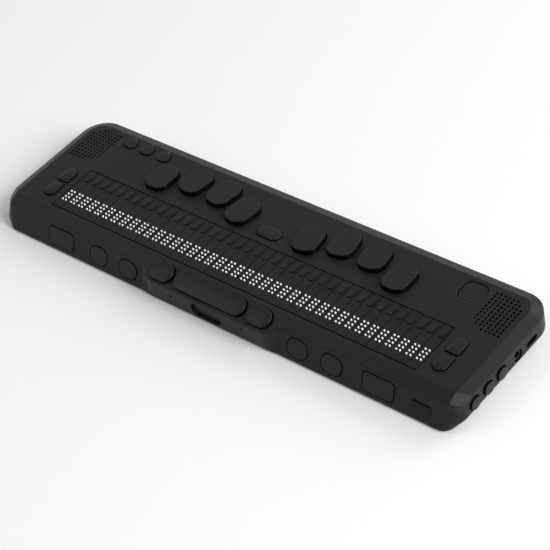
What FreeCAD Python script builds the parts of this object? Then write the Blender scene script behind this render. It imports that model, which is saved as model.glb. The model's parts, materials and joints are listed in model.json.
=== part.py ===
"""Forty-cell braille display with entry keys, as a parametric document in millimetres.

The frame has its origin under the middle of the case, on the surface that the feet stand on:
+X to the right, +Y to the rear and +Z up.
"""
import FreeCAD, Part
import math
import os
import Sketcher

V = FreeCAD.Vector

# Driving dimensions, each set by itself
SIZES = {
    # Case outline
    "case_length": 321.0,
    "case_depth": 89.0,
    "case_height": 17.8,
    "foot_rise": 1.2,
    "case_wall": 2.0,
    "case_floor": 1.8,
    "cover_wall": 2.0,
    "cover_edge": 0.6,
    "parting_gap": 0.25,
    "fit_gap": 0.3,
    "key_gap": 0.3,
    # Bevels round the top face
    "bevel_width": 6.2,
    "bevel_drop": 2.9,
    "rear_corner": 15.0,
    "facet_width": 6.2,
    "facet_depth": 10.6,
    # Walls
    "face_setback": 12.6,
    "front_setback": 6.75,
    "front_foot_setback": 0.6,
    "nose_half": 38.5,
    "nose_sweep": 12.5,
    "undercut": 4.4,
    "corner_width": 5.45,
    "corner_edge": 0.75,
    "corner_split": 5.8,
    "corner_depth": 10.8,
    "waist_corner": 8.5,
    "foot_corner": 6.0,
    # Rows on the top face, which share the depth that the window and the entry keys leave
    "front_share": 2.5,
    "middle_share": 4.0,
    "rear_share": 4.8,
    # Braille line
    "end_space": 32.0,
    "cell_pitch": 6.4,
    "cell_gap": 0.12,
    "cell_top_gap": 0.2,
    "display_shift": 0.4,
    "window_depth": 33.1,
    "window_gap": 0.45,
    "dot_pitch": 2.4,
    "dot_side": 1.25,
    "dot_rise": 0.7,
    "dot_gap": 0.35,
    "dot_setback": 10.3,
    "dot_shift": 0.35,
    "pin_length": 3.0,
    "routing_width": 3.3,
    "routing_depth": 6.9,
    "routing_setback": 5.75,
    "routing_rise": 0.25,
    "routing_height": 3.0,
    "module_length": 41.5,
    "board_thick": 1.2,
    # Speaker grilles
    "grille_pitch": 2.5,
    "grille_hole": 1.35,
    "grille_end": 27.6,
    "grille_rear": 4.2,
    # Entry keys
    "entry_width": 15.5,
    "entry_depth": 19.5,
    "entry_corner": 6.2,
    "entry_rise": 3.0,
    "entry_travel": 1.5,
    "entry_edge": 0.7,
    "entry_inner": 15.75,
    "entry_first_space": 3.6,
    "entry_second_space": 5.3,
    "entry_third_space": 4.95,
    "entry_step": 6.3,
    "entry_turn": 10.5,
    # Space key
    "space_width": 15.5,
    "space_depth": 8.2,
    "space_corner": 4.0,
    "space_rise": 1.2,
    "space_travel": 1.0,
    "space_setback": 0.3,
    # Function buttons
    "function_width": 8.5,
    "function_depth": 7.5,
    "function_corner": 3.0,
    "function_rise": 1.0,
    "function_travel": 0.6,
    "function_end": 51.0,
    "function_pitch": 13.0,
    "function_rear": 5.9,
    "indicator_side": 1.0,
    "indicator_row": 5.0,
    "indicator_shift": 0.6,
    # Power button
    "power_width": 13.2,
    "power_depth": 13.0,
    "power_corner": 4.0,
    "power_sink": 0.4,
    "power_travel": 0.6,
    "power_end": 38.9,
    "power_rear": 9.5,
    "power_rim": 0.7,
    # Scroll keys
    "scroll_width": 8.2,
    "scroll_depth": 10.9,
    "scroll_corner": 3.9,
    "scroll_square_corner": 0.8,
    "scroll_rise": 1.3,
    "scroll_travel": 0.8,
    "scroll_off": 9.0,
    "scroll_space": 2.0,
    # Thumb keys on the front bevel
    "thumb_depth": 10.6,
    "thumb_corner": 5.0,
    "thumb_rise": 2.4,
    "thumb_travel": 1.0,
    "thumb_down": 6.75,
    "thumb_bar_width": 49.1,
    "thumb_key_width": 15.7,
    "thumb_space": 2.05,
    "thumb_edge": 1.0,
    # Keys in the front walls
    "front_depth": 10.4,
    "front_corner": 5.0,
    "front_block_corner": 2.0,
    "front_rise": 0.3,
    "front_travel": 0.8,
    "front_down": 8.2,
    "front_round_width": 13.2,
    "front_block_width": 19.4,
    "front_start": 2.65,
    "front_end": 38.5,
    "front_split": 0.41,
    # Buttons in the right wall
    "side_width": 6.8,
    "side_depth": 7.4,
    "side_corner": 3.3,
    "side_rise": 1.2,
    "side_travel": 0.6,
    "side_down": 9.0,
    "side_front": 29.6,
    "side_pitch": 11.3,
    # Parts behind every key
    "flange_thick": 1.0,
    "flange_margin": 0.6,
    "stem_side": 3.0,
    "switch_side": 4.5,
    "switch_height": 1.5,
    "switch_play": 0.15,
    "top_board_drop": 7.1,
    "thumb_board_drop": 6.6,
    "front_board_drop": 6.2,
    "side_board_drop": 6.2,
    "board_margin": 0.5,
    "post_thick": 1.3,
    "post_space": 1.0,
    "board_play": 0.1,
    "board_side": 1.5,
    "board_end": 4.0,
    "board_rise": 0.2,
    "wing_front": 4.0,
    "thumb_board_front": 5.0,
    "thumb_board_rear": 3.5,
    "front_board_end": 5.0,
    "front_board_low": 2.6,
    "front_board_high": 4.0,
    "side_board_inset": 0.4,
    "rib_thick": 1.5,
    "rib_end": 8.0,
    "rib_step": 2.0,
    "rib_front": 3.0,
    "rib_rear": 4.5,
    "rib_wing": 5.0,
    "root": 0.5,
    # Ports in the right wall
    "jack_place": 10.6,
    "jack_down": 9.6,
    "jack_bore": 1.8,
    "jack_barrel": 3.2,
    "jack_sink": 0.85,
    "jack_length": 14.0,
    "jack_side": 6.2,
    "port_place": 22.5,
    "port_down": 10.0,
    "port_width": 9.0,
    "port_thick": 3.2,
    "port_wall": 0.33,
    "port_length": 7.3,
    "port_gap": 0.1,
    "tongue_thick": 0.7,
    "tongue_width": 6.6,
    "tongue_sink": 0.8,
    "port_foot_width": 6.0,
    "port_foot_sink": 2.0,
    # Front details
    "mic_place": 25.25,
    "mic_down": 10.7,
    "mic_hole": 1.4,
    "mic_side": 3.4,
    "mic_thick": 1.2,
    "grip_width": 21.2,
    "grip_down": 7.4,
    "grip_up": 1.0,
    "grip_sink": 2.2,
    "grip_side_wall": 1.5,
    "grip_back_wall": 1.2,
    "grip_top_wall": 0.4,
    "pocket_end": 22.0,
    "pocket_width": 12.4,
    "pocket_depth": 7.0,
    "pocket_down": 9.5,
    "pocket_sink": 1.3,
    "pocket_corner": 1.5,
    "pocket_flat": 1.5,
    "pocket_lip": 0.2,
    "card_width": 11.2,
    "card_thick": 1.1,
    "card_depth": 13.0,
    "card_wall": 0.35,
    # Inner parts
    "speaker_width": 20.4,
    "speaker_depth": 28.0,
    "speaker_height": 4.0,
    "battery_length": 128.0,
    "battery_depth": 17.5,
    "battery_room": 1.1,
    "battery_end": 6.0,
    "bay_gap": 1.0,
    "hook_width": 9.0,
    "hook_thick": 1.4,
    "hook_reach": 5.0,
    "hook_end": 65.5,
    "pad_length": 24.0,
    "pad_width": 6.0,
    "pad_end": 30.5,
    "pad_front": 11.5,
    "pad_rear": 14.5,
}

CELL_ROWS = 4
ROUTING_GROUPS = 8

# Grille rows from the front, as the holes that are drilled, counted from the inner column
GRILLE_ROWS = [(3, 8), (1, 8)] + [(0, 8)] * 7 + [(0, 7), (0, 6)]

doc = FreeCAD.newDocument("braille_display")
sheet = doc.addObject("Spreadsheet::Sheet", "sizes")
for row, (alias, value) in enumerate(SIZES.items(), 1):
    sheet.set(f"A{row}", alias)
    sheet.set(f"B{row}", str(value))
    sheet.setAlias(f"B{row}", alias)
doc.recompute()


def size(alias):
    """The value that the sheet holds under an alias."""
    return float(sheet.get(alias))


def number(expression):
    """The value of an expression on the sheet's cells."""
    value = sheet.evalExpression(expression)
    return float(getattr(value, "Value", value))


# Places that follow from the driving dimensions
HALF_LENGTH = size("case_length") / 2
REAR = size("case_depth") / 2
NOSE = -REAR
TOP = size("foot_rise") + size("case_height")
CREASE = TOP - size("bevel_drop")
FLOOR = size("foot_rise") + size("case_floor")
CREASE_FRONT = NOSE + size("front_setback")
FACE_FRONT = NOSE + size("face_setback")
FACE_SIDE = HALF_LENGTH - size("bevel_width")
FACE_REAR = REAR - size("bevel_width")
WAIST = size("foot_rise") + size("undercut")
BEVEL_ANGLE = math.degrees(math.atan2(size("bevel_drop"), size("bevel_width")))
WALL_RUN = size("front_setback") - size("front_foot_setback")
WALL_LEAN = math.degrees(math.atan2(WALL_RUN, CREASE - size("foot_rise")))
BEVEL_PANEL = "sizes.cover_wall * cos(atan(sizes.bevel_drop / sizes.bevel_width))"
WALL_PANEL = ("sizes.case_wall * cos(atan((sizes.front_setback - sizes.front_foot_setback)"
              " / (sizes.case_height - sizes.bevel_drop)))")

# As many cells as fit between the ends
CELLS = int((size("case_length") - 2 * size("end_space")) / size("cell_pitch"))
LINE_HALF = CELLS * size("cell_pitch") / 2
LINE_START = size("display_shift") - LINE_HALF
LINE_END = size("display_shift") + LINE_HALF

# Rows on the top face, from the front to the rear
FREE_DEPTH = FACE_REAR - FACE_FRONT - size("window_depth") - size("entry_depth") - size("entry_step")
SHARES = size("front_share") + size("middle_share") + size("rear_share")
WINDOW_FRONT = FACE_FRONT + FREE_DEPTH * size("front_share") / SHARES
WINDOW_REAR = WINDOW_FRONT + size("window_depth")
ENTRY_FRONT = WINDOW_REAR + FREE_DEPTH * size("middle_share") / SHARES
LOW_ROW = ENTRY_FRONT + size("entry_depth") / 2
HIGH_ROW = LOW_ROW + size("entry_step")
SPACE_ROW = ENTRY_FRONT + size("space_setback") + size("space_depth") / 2
SCROLL_ROW = (WINDOW_FRONT + WINDOW_REAR) / 2
FUNCTION_ROW = FACE_REAR - size("function_rear")
POWER_ROW = FACE_REAR - size("power_rear")
GRILLE_FRONT = FACE_REAR - size("grille_rear") - (len(GRILLE_ROWS) - 1) * size("grille_pitch")
SIDE_ROW = NOSE + size("side_front")

# Places along the case, to the right of its middle
ENTRY_ONE = size("entry_inner") + size("entry_width") / 2
ENTRY_TWO = ENTRY_ONE + size("entry_width") + size("entry_first_space")
ENTRY_THREE = ENTRY_TWO + size("entry_width") + size("entry_second_space")
ENTRY_SEVEN = ENTRY_THREE + size("entry_width") + size("entry_third_space")
FUNCTION_MIDDLE = HALF_LENGTH - size("function_end")
POWER_PLACE = HALF_LENGTH - size("power_end")
SCROLL_PLACE = LINE_HALF + size("scroll_off")
GRILLE_INNER = HALF_LENGTH - size("grille_end")
THUMB_PLACE = (size("thumb_bar_width") + size("thumb_key_width")) / 2 + size("thumb_space")
THUMB_END = THUMB_PLACE + size("thumb_key_width") / 2
ROUND_HALF = size("front_round_width") / 2
BLOCK_HALF = size("front_block_width") / 2
FRONT_FIRST = size("nose_half") + size("nose_sweep") + size("front_start") + ROUND_HALF
FRONT_THIRD = HALF_LENGTH - size("front_end") - BLOCK_HALF
FRONT_FREE = FRONT_THIRD - BLOCK_HALF - FRONT_FIRST - 3 * ROUND_HALF
FRONT_SECOND = FRONT_FIRST + 2 * ROUND_HALF + size("front_split") * FRONT_FREE
POCKET_PLACE = HALF_LENGTH - size("pocket_end")

# Heights
JACK_HEIGHT = TOP - size("jack_down")
PORT_HEIGHT = TOP - size("port_down")
SIDE_HEIGHT = TOP - size("side_down")
MIC_HEIGHT = TOP - size("mic_down")
GRIP_TOP = TOP - size("grip_down")
GRIP_LOW = size("foot_rise") + size("grip_up")
KEY_BOARD_TOP = TOP - size("top_board_drop")
KEY_BOARD_LOW = KEY_BOARD_TOP - size("board_thick")
MODULE_TOP = KEY_BOARD_LOW - size("board_play")


def blend(first, last, share):
    return first + (last - first) * share


def line(start, end):
    return Part.LineSegment(start, end).toShape()


def bulged(start, end, bulge):
    """An arc that stands off its chord by a share of the chord, or a line where that is none."""
    if bulge == 0:
        return line(start, end)
    along = end - start
    middle = (start + end) * 0.5 + V(along.y, -along.x, 0) * bulge
    return Part.Arc(start, middle, end).toShape()


def corner_arc(centre_x, centre_y, z, radius, first, last):
    centre = V(centre_x, centre_y, z)
    circle = Part.Circle(centre, V(0, 0, 1), radius)
    return Part.ArcOfCircle(circle, math.radians(first), math.radians(last)).toShape()


def sweep_edges(x_start, x_end, y_start, y_end, z):
    """Two equal arcs that leave and arrive along X."""
    x_half = (x_end - x_start) / 2
    y_half = (y_end - y_start) / 2
    radius = (x_half ** 2 + y_half ** 2) / (2 * abs(y_half))
    turn = math.asin(abs(x_half) / radius) / 2
    step = math.copysign(radius * math.sin(turn), x_half)
    rise = math.copysign(radius * (1 - math.cos(turn)), y_half)
    start = V(x_start, y_start, z)
    middle = V(x_start + x_half, y_start + y_half, z)
    end = V(x_end, y_end, z)
    first = Part.Arc(start, start + V(step, rise, 0), middle).toShape()
    second = Part.Arc(middle, end - V(step, rise, 0), end).toShape()
    return [first, second]


def cut_corner(side, front, inset):
    """The three points of the front corner where it is cut off in two flats, with their bulges."""
    width = size("corner_width")
    edge = size("corner_edge")
    split = size("corner_split")
    depth = size("corner_depth")
    first = math.atan2(split, width - edge)
    second = math.atan2(depth - split, edge)
    middle = (first + second) / 2
    shift = inset / math.cos((second - first) / 2)
    points = [
        (side - width - inset * math.tan(first / 2), front + inset),
        (side - edge - shift * math.sin(middle), front + split + shift * math.cos(middle)),
        (side - inset, front + depth + inset * math.tan((math.pi / 2 - second) / 2)),
    ]
    return points, (0, 0)


def round_corner(side, front, inset, radius):
    """The same three points on a quarter circle, with the bulges of its two arcs."""
    side -= inset
    front += inset
    radius -= inset
    part = math.radians(20)
    points = [
        (side - radius, front),
        (side - radius * (1 - math.cos(part)), front + radius * (1 - math.sin(part))),
        (side, front + radius),
    ]
    return points, (math.tan((math.pi / 2 - part) / 4) / 2, math.tan(part / 4) / 2)


def wall_wire(z, inset):
    """The plan of the walls at one height, taken in by an inset."""
    share = (CREASE - z) / (CREASE - size("foot_rise"))
    undercut = max(0.0, WAIST - z)
    nose = NOSE + inset
    front = blend(CREASE_FRONT, NOSE + size("front_foot_setback"), share)
    side = HALF_LENGTH - undercut
    if z > WAIST:
        points, bulges = cut_corner(side, front, inset)
    else:
        foot_share = undercut / size("undercut")
        radius = blend(size("waist_corner"), size("foot_corner"), foot_share)
        points, bulges = round_corner(side, front, inset, radius)
    front += inset
    side -= inset
    rear = REAR - undercut - inset
    radius = size("rear_corner") - undercut - inset
    start = size("nose_half")
    end = start + size("nose_sweep")
    right = [V(x, y, z) for x, y in points]
    left = [V(-x, y, z) for x, y in points]
    edges = [line(V(-start, nose, z), V(start, nose, z))]
    edges += sweep_edges(start, end, nose, front, z)
    edges.append(line(V(end, front, z), right[0]))
    edges.append(bulged(right[0], right[1], bulges[0]))
    edges.append(bulged(right[1], right[2], bulges[1]))
    edges.append(line(right[2], V(side, rear - radius, z)))
    edges.append(corner_arc(side - radius, rear - radius, z, radius, 0, 90))
    edges.append(line(V(side - radius, rear, z), V(radius - side, rear, z)))
    edges.append(corner_arc(radius - side, rear - radius, z, radius, 90, 180))
    edges.append(line(V(-side, rear - radius, z), left[2]))
    edges.append(bulged(left[2], left[1], bulges[1]))
    edges.append(bulged(left[1], left[0], bulges[0]))
    edges.append(line(left[0], V(-end, front, z)))
    edges += sweep_edges(-end, -start, front, nose, z)
    return Part.Wire(edges)


def wall_form(inset=0.0):
    """The solid inside the walls, taken in by an inset."""
    wires = [wall_wire(z, inset) for z in (TOP + 1, WAIST, size("foot_rise"))]
    return Part.makeLoft(wires, True, True)


def bevel_wire(z, reach):
    """The plan of the bevels, reach 0 at the top face and 1 at the crease of the sides."""
    front = FACE_FRONT - size("bevel_width") * reach
    side = FACE_SIDE + size("bevel_width") * reach
    rear = FACE_REAR + size("bevel_width") * reach
    radius = size("rear_corner") - size("bevel_width") * (1 - reach)
    facet = max(reach, 0.04)
    cut_x = side - size("facet_width") * facet
    cut_y = front + size("facet_depth") * facet
    edges = [
        line(V(-cut_x, front, z), V(cut_x, front, z)),
        line(V(cut_x, front, z), V(side, cut_y, z)),
        line(V(side, cut_y, z), V(side, rear - radius, z)),
        corner_arc(side - radius, rear - radius, z, radius, 0, 90),
        line(V(side - radius, rear, z), V(radius - side, rear, z)),
        corner_arc(radius - side, rear - radius, z, radius, 90, 180),
        line(V(-side, rear - radius, z), V(-side, cut_y, z)),
        line(V(-side, cut_y, z), V(-cut_x, front, z)),
    ]
    return Part.Wire(edges)


def bevel_form(drop=0.0):
    """The solid under the top face and the bevels, lowered by a drop."""
    reach = size("face_setback") / size("bevel_width") + 0.5
    low = TOP - size("bevel_drop") * reach
    wires = [bevel_wire(TOP, 0), bevel_wire(low, reach), bevel_wire(-5, reach)]
    form = Part.makeLoft(wires, True, True)
    form.translate(V(0, 0, -drop))
    return form


def rounded_wire(width, depth, corner, rear_radius, low):
    """A rectangle with rounded corners, centred on Z."""
    x = width / 2
    y = depth / 2
    edges = []
    if x - corner > 0.001:
        edges.append(line(V(corner - x, -y, low), V(x - corner, -y, low)))
    edges.append(corner_arc(x - corner, corner - y, low, corner, -90, 0))
    if y * 2 - corner - rear_radius > 0.001:
        edges.append(line(V(x, corner - y, low), V(x, y - rear_radius, low)))
    edges.append(corner_arc(x - rear_radius, y - rear_radius, low, rear_radius, 0, 90))
    if x - rear_radius > 0.001:
        edges.append(line(V(x - rear_radius, y, low), V(rear_radius - x, y, low)))
    edges.append(corner_arc(rear_radius - x, y - rear_radius, low, rear_radius, 90, 180))
    if y * 2 - corner - rear_radius > 0.001:
        edges.append(line(V(-x, y - rear_radius, low), V(-x, corner - y, low)))
    edges.append(corner_arc(corner - x, corner - y, low, corner, 180, 270))
    return Part.Wire(edges)


def rounded_prism(width, depth, corner, low, high, rear_corner=None):
    """An upright prism on a rectangle with rounded corners."""
    rear_radius = corner if rear_corner is None else rear_corner
    face = Part.Face(rounded_wire(width, depth, corner, rear_radius, low))
    return face.extrude(V(0, 0, high - low))


def box(x_low, x_high, y_low, y_high, z_low, z_high):
    return Part.makeBox(x_high - x_low, y_high - y_low, z_high - z_low, V(x_low, y_low, z_low))


def placed(shape, place):
    moved = shape.copy()
    moved.Placement = place.multiply(moved.Placement)
    return moved


# Where each face's keys stand: their own +Z leaves the face, their +Y points up or to the rear


def top_place(x, y, turn=0):
    return FreeCAD.Placement(V(x, y, TOP), FreeCAD.Rotation(V(0, 0, 1), turn))


def bevel_place(x, down):
    slope = math.radians(BEVEL_ANGLE)
    point = V(x, FACE_FRONT - down * math.cos(slope), TOP - down * math.sin(slope))
    return FreeCAD.Placement(point, FreeCAD.Rotation(V(1, 0, 0), BEVEL_ANGLE))


def wall_place(x, down):
    lean = math.radians(WALL_LEAN)
    point = V(x, CREASE_FRONT - down * math.sin(lean), CREASE - down * math.cos(lean))
    return FreeCAD.Placement(point, FreeCAD.Rotation(V(1, 0, 0), 90 - WALL_LEAN))


def side_place(y, z):
    return FreeCAD.Placement(V(HALF_LENGTH, y, z), FreeCAD.Rotation(V(0, 1, 0), 90))


# Each family of keys: its outline's corner, the panel that it passes through, and how many margins
# its flange reaches past the cap across and along the panel
FAMILIES = {
    "entry": {"corner": "entry_corner", "panel": "sizes.cover_wall", "catch": (1, 0)},
    "space": {"corner": "space_corner", "panel": "sizes.cover_wall", "catch": (1, 1)},
    "function": {"corner": "function_corner", "panel": "sizes.cover_wall", "catch": (0, 1)},
    "power": {"corner": "power_corner", "panel": "sizes.cover_wall", "catch": (1, 1)},
    "scroll": {"corner": "scroll_corner", "panel": "sizes.cover_wall", "catch": (1, 1)},
    "thumb": {"corner": "thumb_corner", "panel": BEVEL_PANEL, "catch": (1, -1)},
    "front": {"corner": "front_corner", "panel": WALL_PANEL, "catch": (1, -1)},
    "side": {"corner": "side_corner", "panel": "sizes.case_wall", "catch": (1, 1)},
}
EDGES = {"entry": "entry_edge", "thumb": "thumb_edge"}
BOARD_DROPS = {"thumb": "thumb_board_drop", "front": "front_board_drop", "side": "side_board_drop"}


def key(node, family, place, width=None, corner=None, rear_corner=None):
    """One key: its family, its place, and the outline where the family has several."""
    outline = {
        "width": f"sizes.{width or family + '_width'}",
        "depth": f"sizes.{family}_depth",
        "corner": f"sizes.{corner or FAMILIES[family]['corner']}",
    }
    outline["rear_corner"] = f"sizes.{rear_corner}" if rear_corner else outline["corner"]
    return {"node": node, "family": family, "place": place, **outline}


def key_list():
    keys = []
    fan = [
        ("dot_1_key", ENTRY_ONE, LOW_ROW, -1, 1),
        ("dot_2_key", ENTRY_TWO, HIGH_ROW, -1, 1),
        ("dot_3_key", ENTRY_THREE, HIGH_ROW, -1, 1),
        ("dot_7_key", ENTRY_SEVEN, LOW_ROW, -1, 0),
        ("dot_4_key", ENTRY_ONE, LOW_ROW, 1, 1),
        ("dot_5_key", ENTRY_TWO, HIGH_ROW, 1, 1),
        ("dot_6_key", ENTRY_THREE, HIGH_ROW, 1, 1),
        ("dot_8_key", ENTRY_SEVEN, LOW_ROW, 1, 0),
    ]
    for node, across, along, hand, turned in fan:
        place = top_place(hand * across, along, hand * turned * size("entry_turn"))
        keys.append(key(node, "entry", place))
    keys.append(key("space_key", "space", top_place(0, SPACE_ROW)))
    for index in range(3):
        x = (index - 1) * size("function_pitch") - FUNCTION_MIDDLE
        keys.append(key(f"function_button_{index + 1}", "function", top_place(x, FUNCTION_ROW)))
    keys.append(key("power_button", "power", top_place(POWER_PLACE, POWER_ROW)))
    reach = (size("scroll_space") + size("scroll_depth")) / 2
    for side, hand in (("left", -1), ("right", 1)):
        x = hand * SCROLL_PLACE + size("display_shift")
        keys.append(key(f"{side}_scroll_up_key", "scroll", top_place(x, SCROLL_ROW + reach),
                        corner="scroll_square_corner", rear_corner="scroll_corner"))
        keys.append(key(f"{side}_scroll_down_key", "scroll", top_place(x, SCROLL_ROW - reach),
                        rear_corner="scroll_square_corner"))
    thumbs = [("thumb_key_left", -1, "thumb_key_width"), ("thumb_bar", 0, "thumb_bar_width"),
              ("thumb_key_right", 1, "thumb_key_width")]
    for node, hand, width in thumbs:
        place = bevel_place(hand * THUMB_PLACE, size("thumb_down"))
        keys.append(key(node, "thumb", place, width=width))
    walls = [("inner", FRONT_FIRST, "front_round_width", "front_corner"),
             ("middle", FRONT_SECOND, "front_round_width", "front_corner"),
             ("outer", FRONT_THIRD, "front_block_width", "front_block_corner")]
    for side, hand in (("left", -1), ("right", 1)):
        for label, across, width, corner in walls:
            place = wall_place(hand * across, size("front_down"))
            keys.append(key(f"front_key_{side}_{label}", "front", place, width, corner))
    for index in range(3):
        place = side_place((1 - index) * size("side_pitch") + SIDE_ROW, SIDE_HEIGHT)
        keys.append(key(f"side_button_{index + 1}", "side", place))
    return keys


KEYS = key_list()


def rise_of(family):
    return "-sizes.power_sink" if family == "power" else f"sizes.{family}_rise"


def depths_of(family):
    """How far below the face a key's flange starts and ends, and where its stem ends."""
    flange_top = f"({FAMILIES[family]['panel']} + sizes.key_gap)"
    flange_low = f"({flange_top} + sizes.flange_thick)"
    drop = BOARD_DROPS.get(family, "top_board_drop")
    play = f"(sizes.{family}_travel + sizes.switch_play)"
    stem_low = f"(sizes.{drop} - sizes.switch_height - {play})"
    return flange_top, flange_low, stem_low


def origin_plane(body, role):
    return next(plane for plane in body.Origin.OriginFeatures if plane.Role == role)


def centred_sketch(body, name, offset):
    """An empty sketch across the body's Z axis, at an offset along it."""
    sketch = body.newObject("Sketcher::SketchObject", name)
    sketch.AttachmentSupport = [(origin_plane(body, "XY_Plane"), "")]
    sketch.MapMode = "FlatFace"
    sketch.setExpression("AttachmentOffset.Base.z", offset)
    return sketch


def add_rules(sketch, rules, sized):
    """Plain constraints, then constraints whose values are expressions."""
    sketch.addConstraint(rules)
    for rule, expression in sized:
        index = sketch.addConstraint(rule)
        sketch.setExpression(f"Constraints[{index}]", expression)


def plain_sketch(body, name, width, depth, offset):
    """A rectangle about the body's Z axis."""
    sketch = centred_sketch(body, name, offset)
    x = number(width) / 2
    y = number(depth) / 2
    corners = [V(-x, -y, 0), V(x, -y, 0), V(x, y, 0), V(-x, y, 0)]
    for start, end in zip(corners, corners[1:] + corners[:1]):
        sketch.addGeometry(Part.LineSegment(start, end), False)
    rules = [Sketcher.Constraint("Coincident", index, 2, (index + 1) % 4, 1) for index in range(4)]
    rules += [Sketcher.Constraint("Horizontal", 0), Sketcher.Constraint("Horizontal", 2)]
    rules += [Sketcher.Constraint("Vertical", 1), Sketcher.Constraint("Vertical", 3)]
    sized = [
        (Sketcher.Constraint("DistanceX", -1, 1, 1, 1, x), f"({width}) / 2"),
        (Sketcher.Constraint("DistanceX", 3, 1, -1, 1, x), f"({width}) / 2"),
        (Sketcher.Constraint("DistanceY", -1, 1, 2, 1, y), f"({depth}) / 2"),
        (Sketcher.Constraint("DistanceY", 0, 1, -1, 1, y), f"({depth}) / 2"),
    ]
    add_rules(sketch, rules, sized)
    return sketch


def rounded_sketch(body, name, spec, offset):
    """A rectangle with rounded corners about the body's Z axis, with every size an expression."""
    sketch = centred_sketch(body, name, offset)
    x = number(spec["width"]) / 2
    y = number(spec["depth"]) / 2
    front = number(spec["corner"])
    rear = number(spec["rear_corner"])
    arcs = [(x - front, front - y, front, -90), (x - rear, y - rear, rear, 0),
            (rear - x, y - rear, rear, 90), (front - x, front - y, front, 180)]
    lines = [((front - x, -y), (x - front, -y)), ((x, front - y), (x, y - rear)),
             ((x - rear, y), (rear - x, y)), ((-x, y - rear), (-x, front - y))]
    for (start, end), (centre_x, centre_y, radius, first) in zip(lines, arcs):
        sketch.addGeometry(Part.LineSegment(V(*start, 0), V(*end, 0)), False)
        circle = Part.Circle(V(centre_x, centre_y, 0), V(0, 0, 1), radius)
        arc = Part.ArcOfCircle(circle, math.radians(first), math.radians(first + 90))
        sketch.addGeometry(arc, False)
    rules = [Sketcher.Constraint("Tangent", index, 2, (index + 1) % 8, 1) for index in range(8)]
    rules += [Sketcher.Constraint("Horizontal", 0), Sketcher.Constraint("Horizontal", 4)]
    rules += [Sketcher.Constraint("Vertical", 2), Sketcher.Constraint("Vertical", 6)]
    rules += [Sketcher.Constraint("Equal", 1, 7), Sketcher.Constraint("Equal", 3, 5)]
    sized = [
        (Sketcher.Constraint("Radius", 1, front), spec["corner"]),
        (Sketcher.Constraint("Radius", 3, rear), spec["rear_corner"]),
        (Sketcher.Constraint("DistanceX", -1, 1, 2, 1, x), f"({spec['width']}) / 2"),
        (Sketcher.Constraint("DistanceX", 6, 1, -1, 1, x), f"({spec['width']}) / 2"),
        (Sketcher.Constraint("DistanceY", -1, 1, 4, 1, y), f"({spec['depth']}) / 2"),
        (Sketcher.Constraint("DistanceY", 0, 1, -1, 1, y), f"({spec['depth']}) / 2"),
    ]
    add_rules(sketch, rules, sized)
    return sketch


def pad(body, name, sketch, length):
    feature = body.newObject("PartDesign::Pad", name)
    feature.Profile = sketch
    feature.setExpression("Length", length)
    return feature


def make_key(spec):
    """A cap that passes through its panel, a flange that keeps it in, and a stem."""
    family = spec["family"]
    flange_top, flange_low, stem_low = depths_of(family)
    body = doc.addObject("PartDesign::Body", spec["node"])
    body.Label = spec["node"]
    across, along = FAMILIES[family]["catch"]
    flange = plain_sketch(body, spec["node"] + "_flange_outline",
                          f"{spec['width']} + {2 * across} * sizes.flange_margin",
                          f"{spec['depth']} + {2 * along} * sizes.flange_margin", f"-{flange_low}")
    pad(body, spec["node"] + "_flange", flange, "sizes.flange_thick")
    cap = rounded_sketch(body, spec["node"] + "_cap_outline", spec, f"-{flange_top}")
    pad(body, spec["node"] + "_cap", cap, f"{flange_top} + {rise_of(family)}")
    stem = plain_sketch(body, spec["node"] + "_stem_outline", "sizes.stem_side",
                        "sizes.stem_side", f"-{stem_low}")
    pad(body, spec["node"] + "_stem", stem, f"{stem_low} - {flange_low}")
    if family in EDGES:
        doc.recompute()
        solid = body.Tip
        faces = solid.Shape.Faces
        highest = max(range(len(faces)), key=lambda index: faces[index].CenterOfMass.z)
        chamfer = body.newObject("PartDesign::Chamfer", spec["node"] + "_edge")
        chamfer.Base = (solid, [f"Face{highest + 1}"])
        chamfer.setExpression("Size", f"sizes.{EDGES[family]}")
    body.Placement = spec["place"]
    return body


def key_opening(spec, low, high):
    """The opening that a key passes through, with its clearance."""
    gap = size("key_gap")
    width = number(spec["width"]) + 2 * gap
    depth = number(spec["depth"]) + 2 * gap
    corner = number(spec["corner"]) + gap
    rear_corner = number(spec["rear_corner"]) + gap
    return placed(rounded_prism(width, depth, corner, low, high, rear_corner), spec["place"])


def flange_room(spec):
    """Where a key's flange travels behind its panel, with its clearance."""
    family = spec["family"]
    across, along = FAMILIES[family]["catch"]
    gap = size("key_gap")
    margin = size("flange_margin")
    x = number(spec["width"]) / 2 + across * margin + gap
    y = number(spec["depth"]) / 2 + along * margin + gap
    deepest = number(depths_of(family)[1]) + size(f"{family}_travel") + gap
    return placed(box(-x, x, -y, y, -deepest, -number(FAMILIES[family]["panel"])), spec["place"])


def make_part(node, shape, place=None):
    feature = doc.addObject("Part::Feature", node)
    feature.Label = node
    feature.Shape = shape
    if place:
        feature.Placement = place
    return feature


# Braille line

CELL_TOP = TOP - size("cell_top_gap")
CELL_FRONT = WINDOW_FRONT + size("window_gap")
CELL_REAR = WINDOW_REAR - size("window_gap")
BOARD_TOP = FLOOR + size("board_thick")
DOT_SPAN = (CELL_ROWS - 1) * size("dot_pitch") + size("dot_side") + 2 * size("dot_gap")
DOT_ROW = WINDOW_FRONT + size("dot_setback")
ROUTING_ROW = WINDOW_REAR - size("routing_setback")


def cell_start(index):
    return LINE_START + index * size("cell_pitch")


def dot_middle(index):
    return cell_start(index) + size("cell_pitch") / 2 + size("dot_shift")


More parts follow.
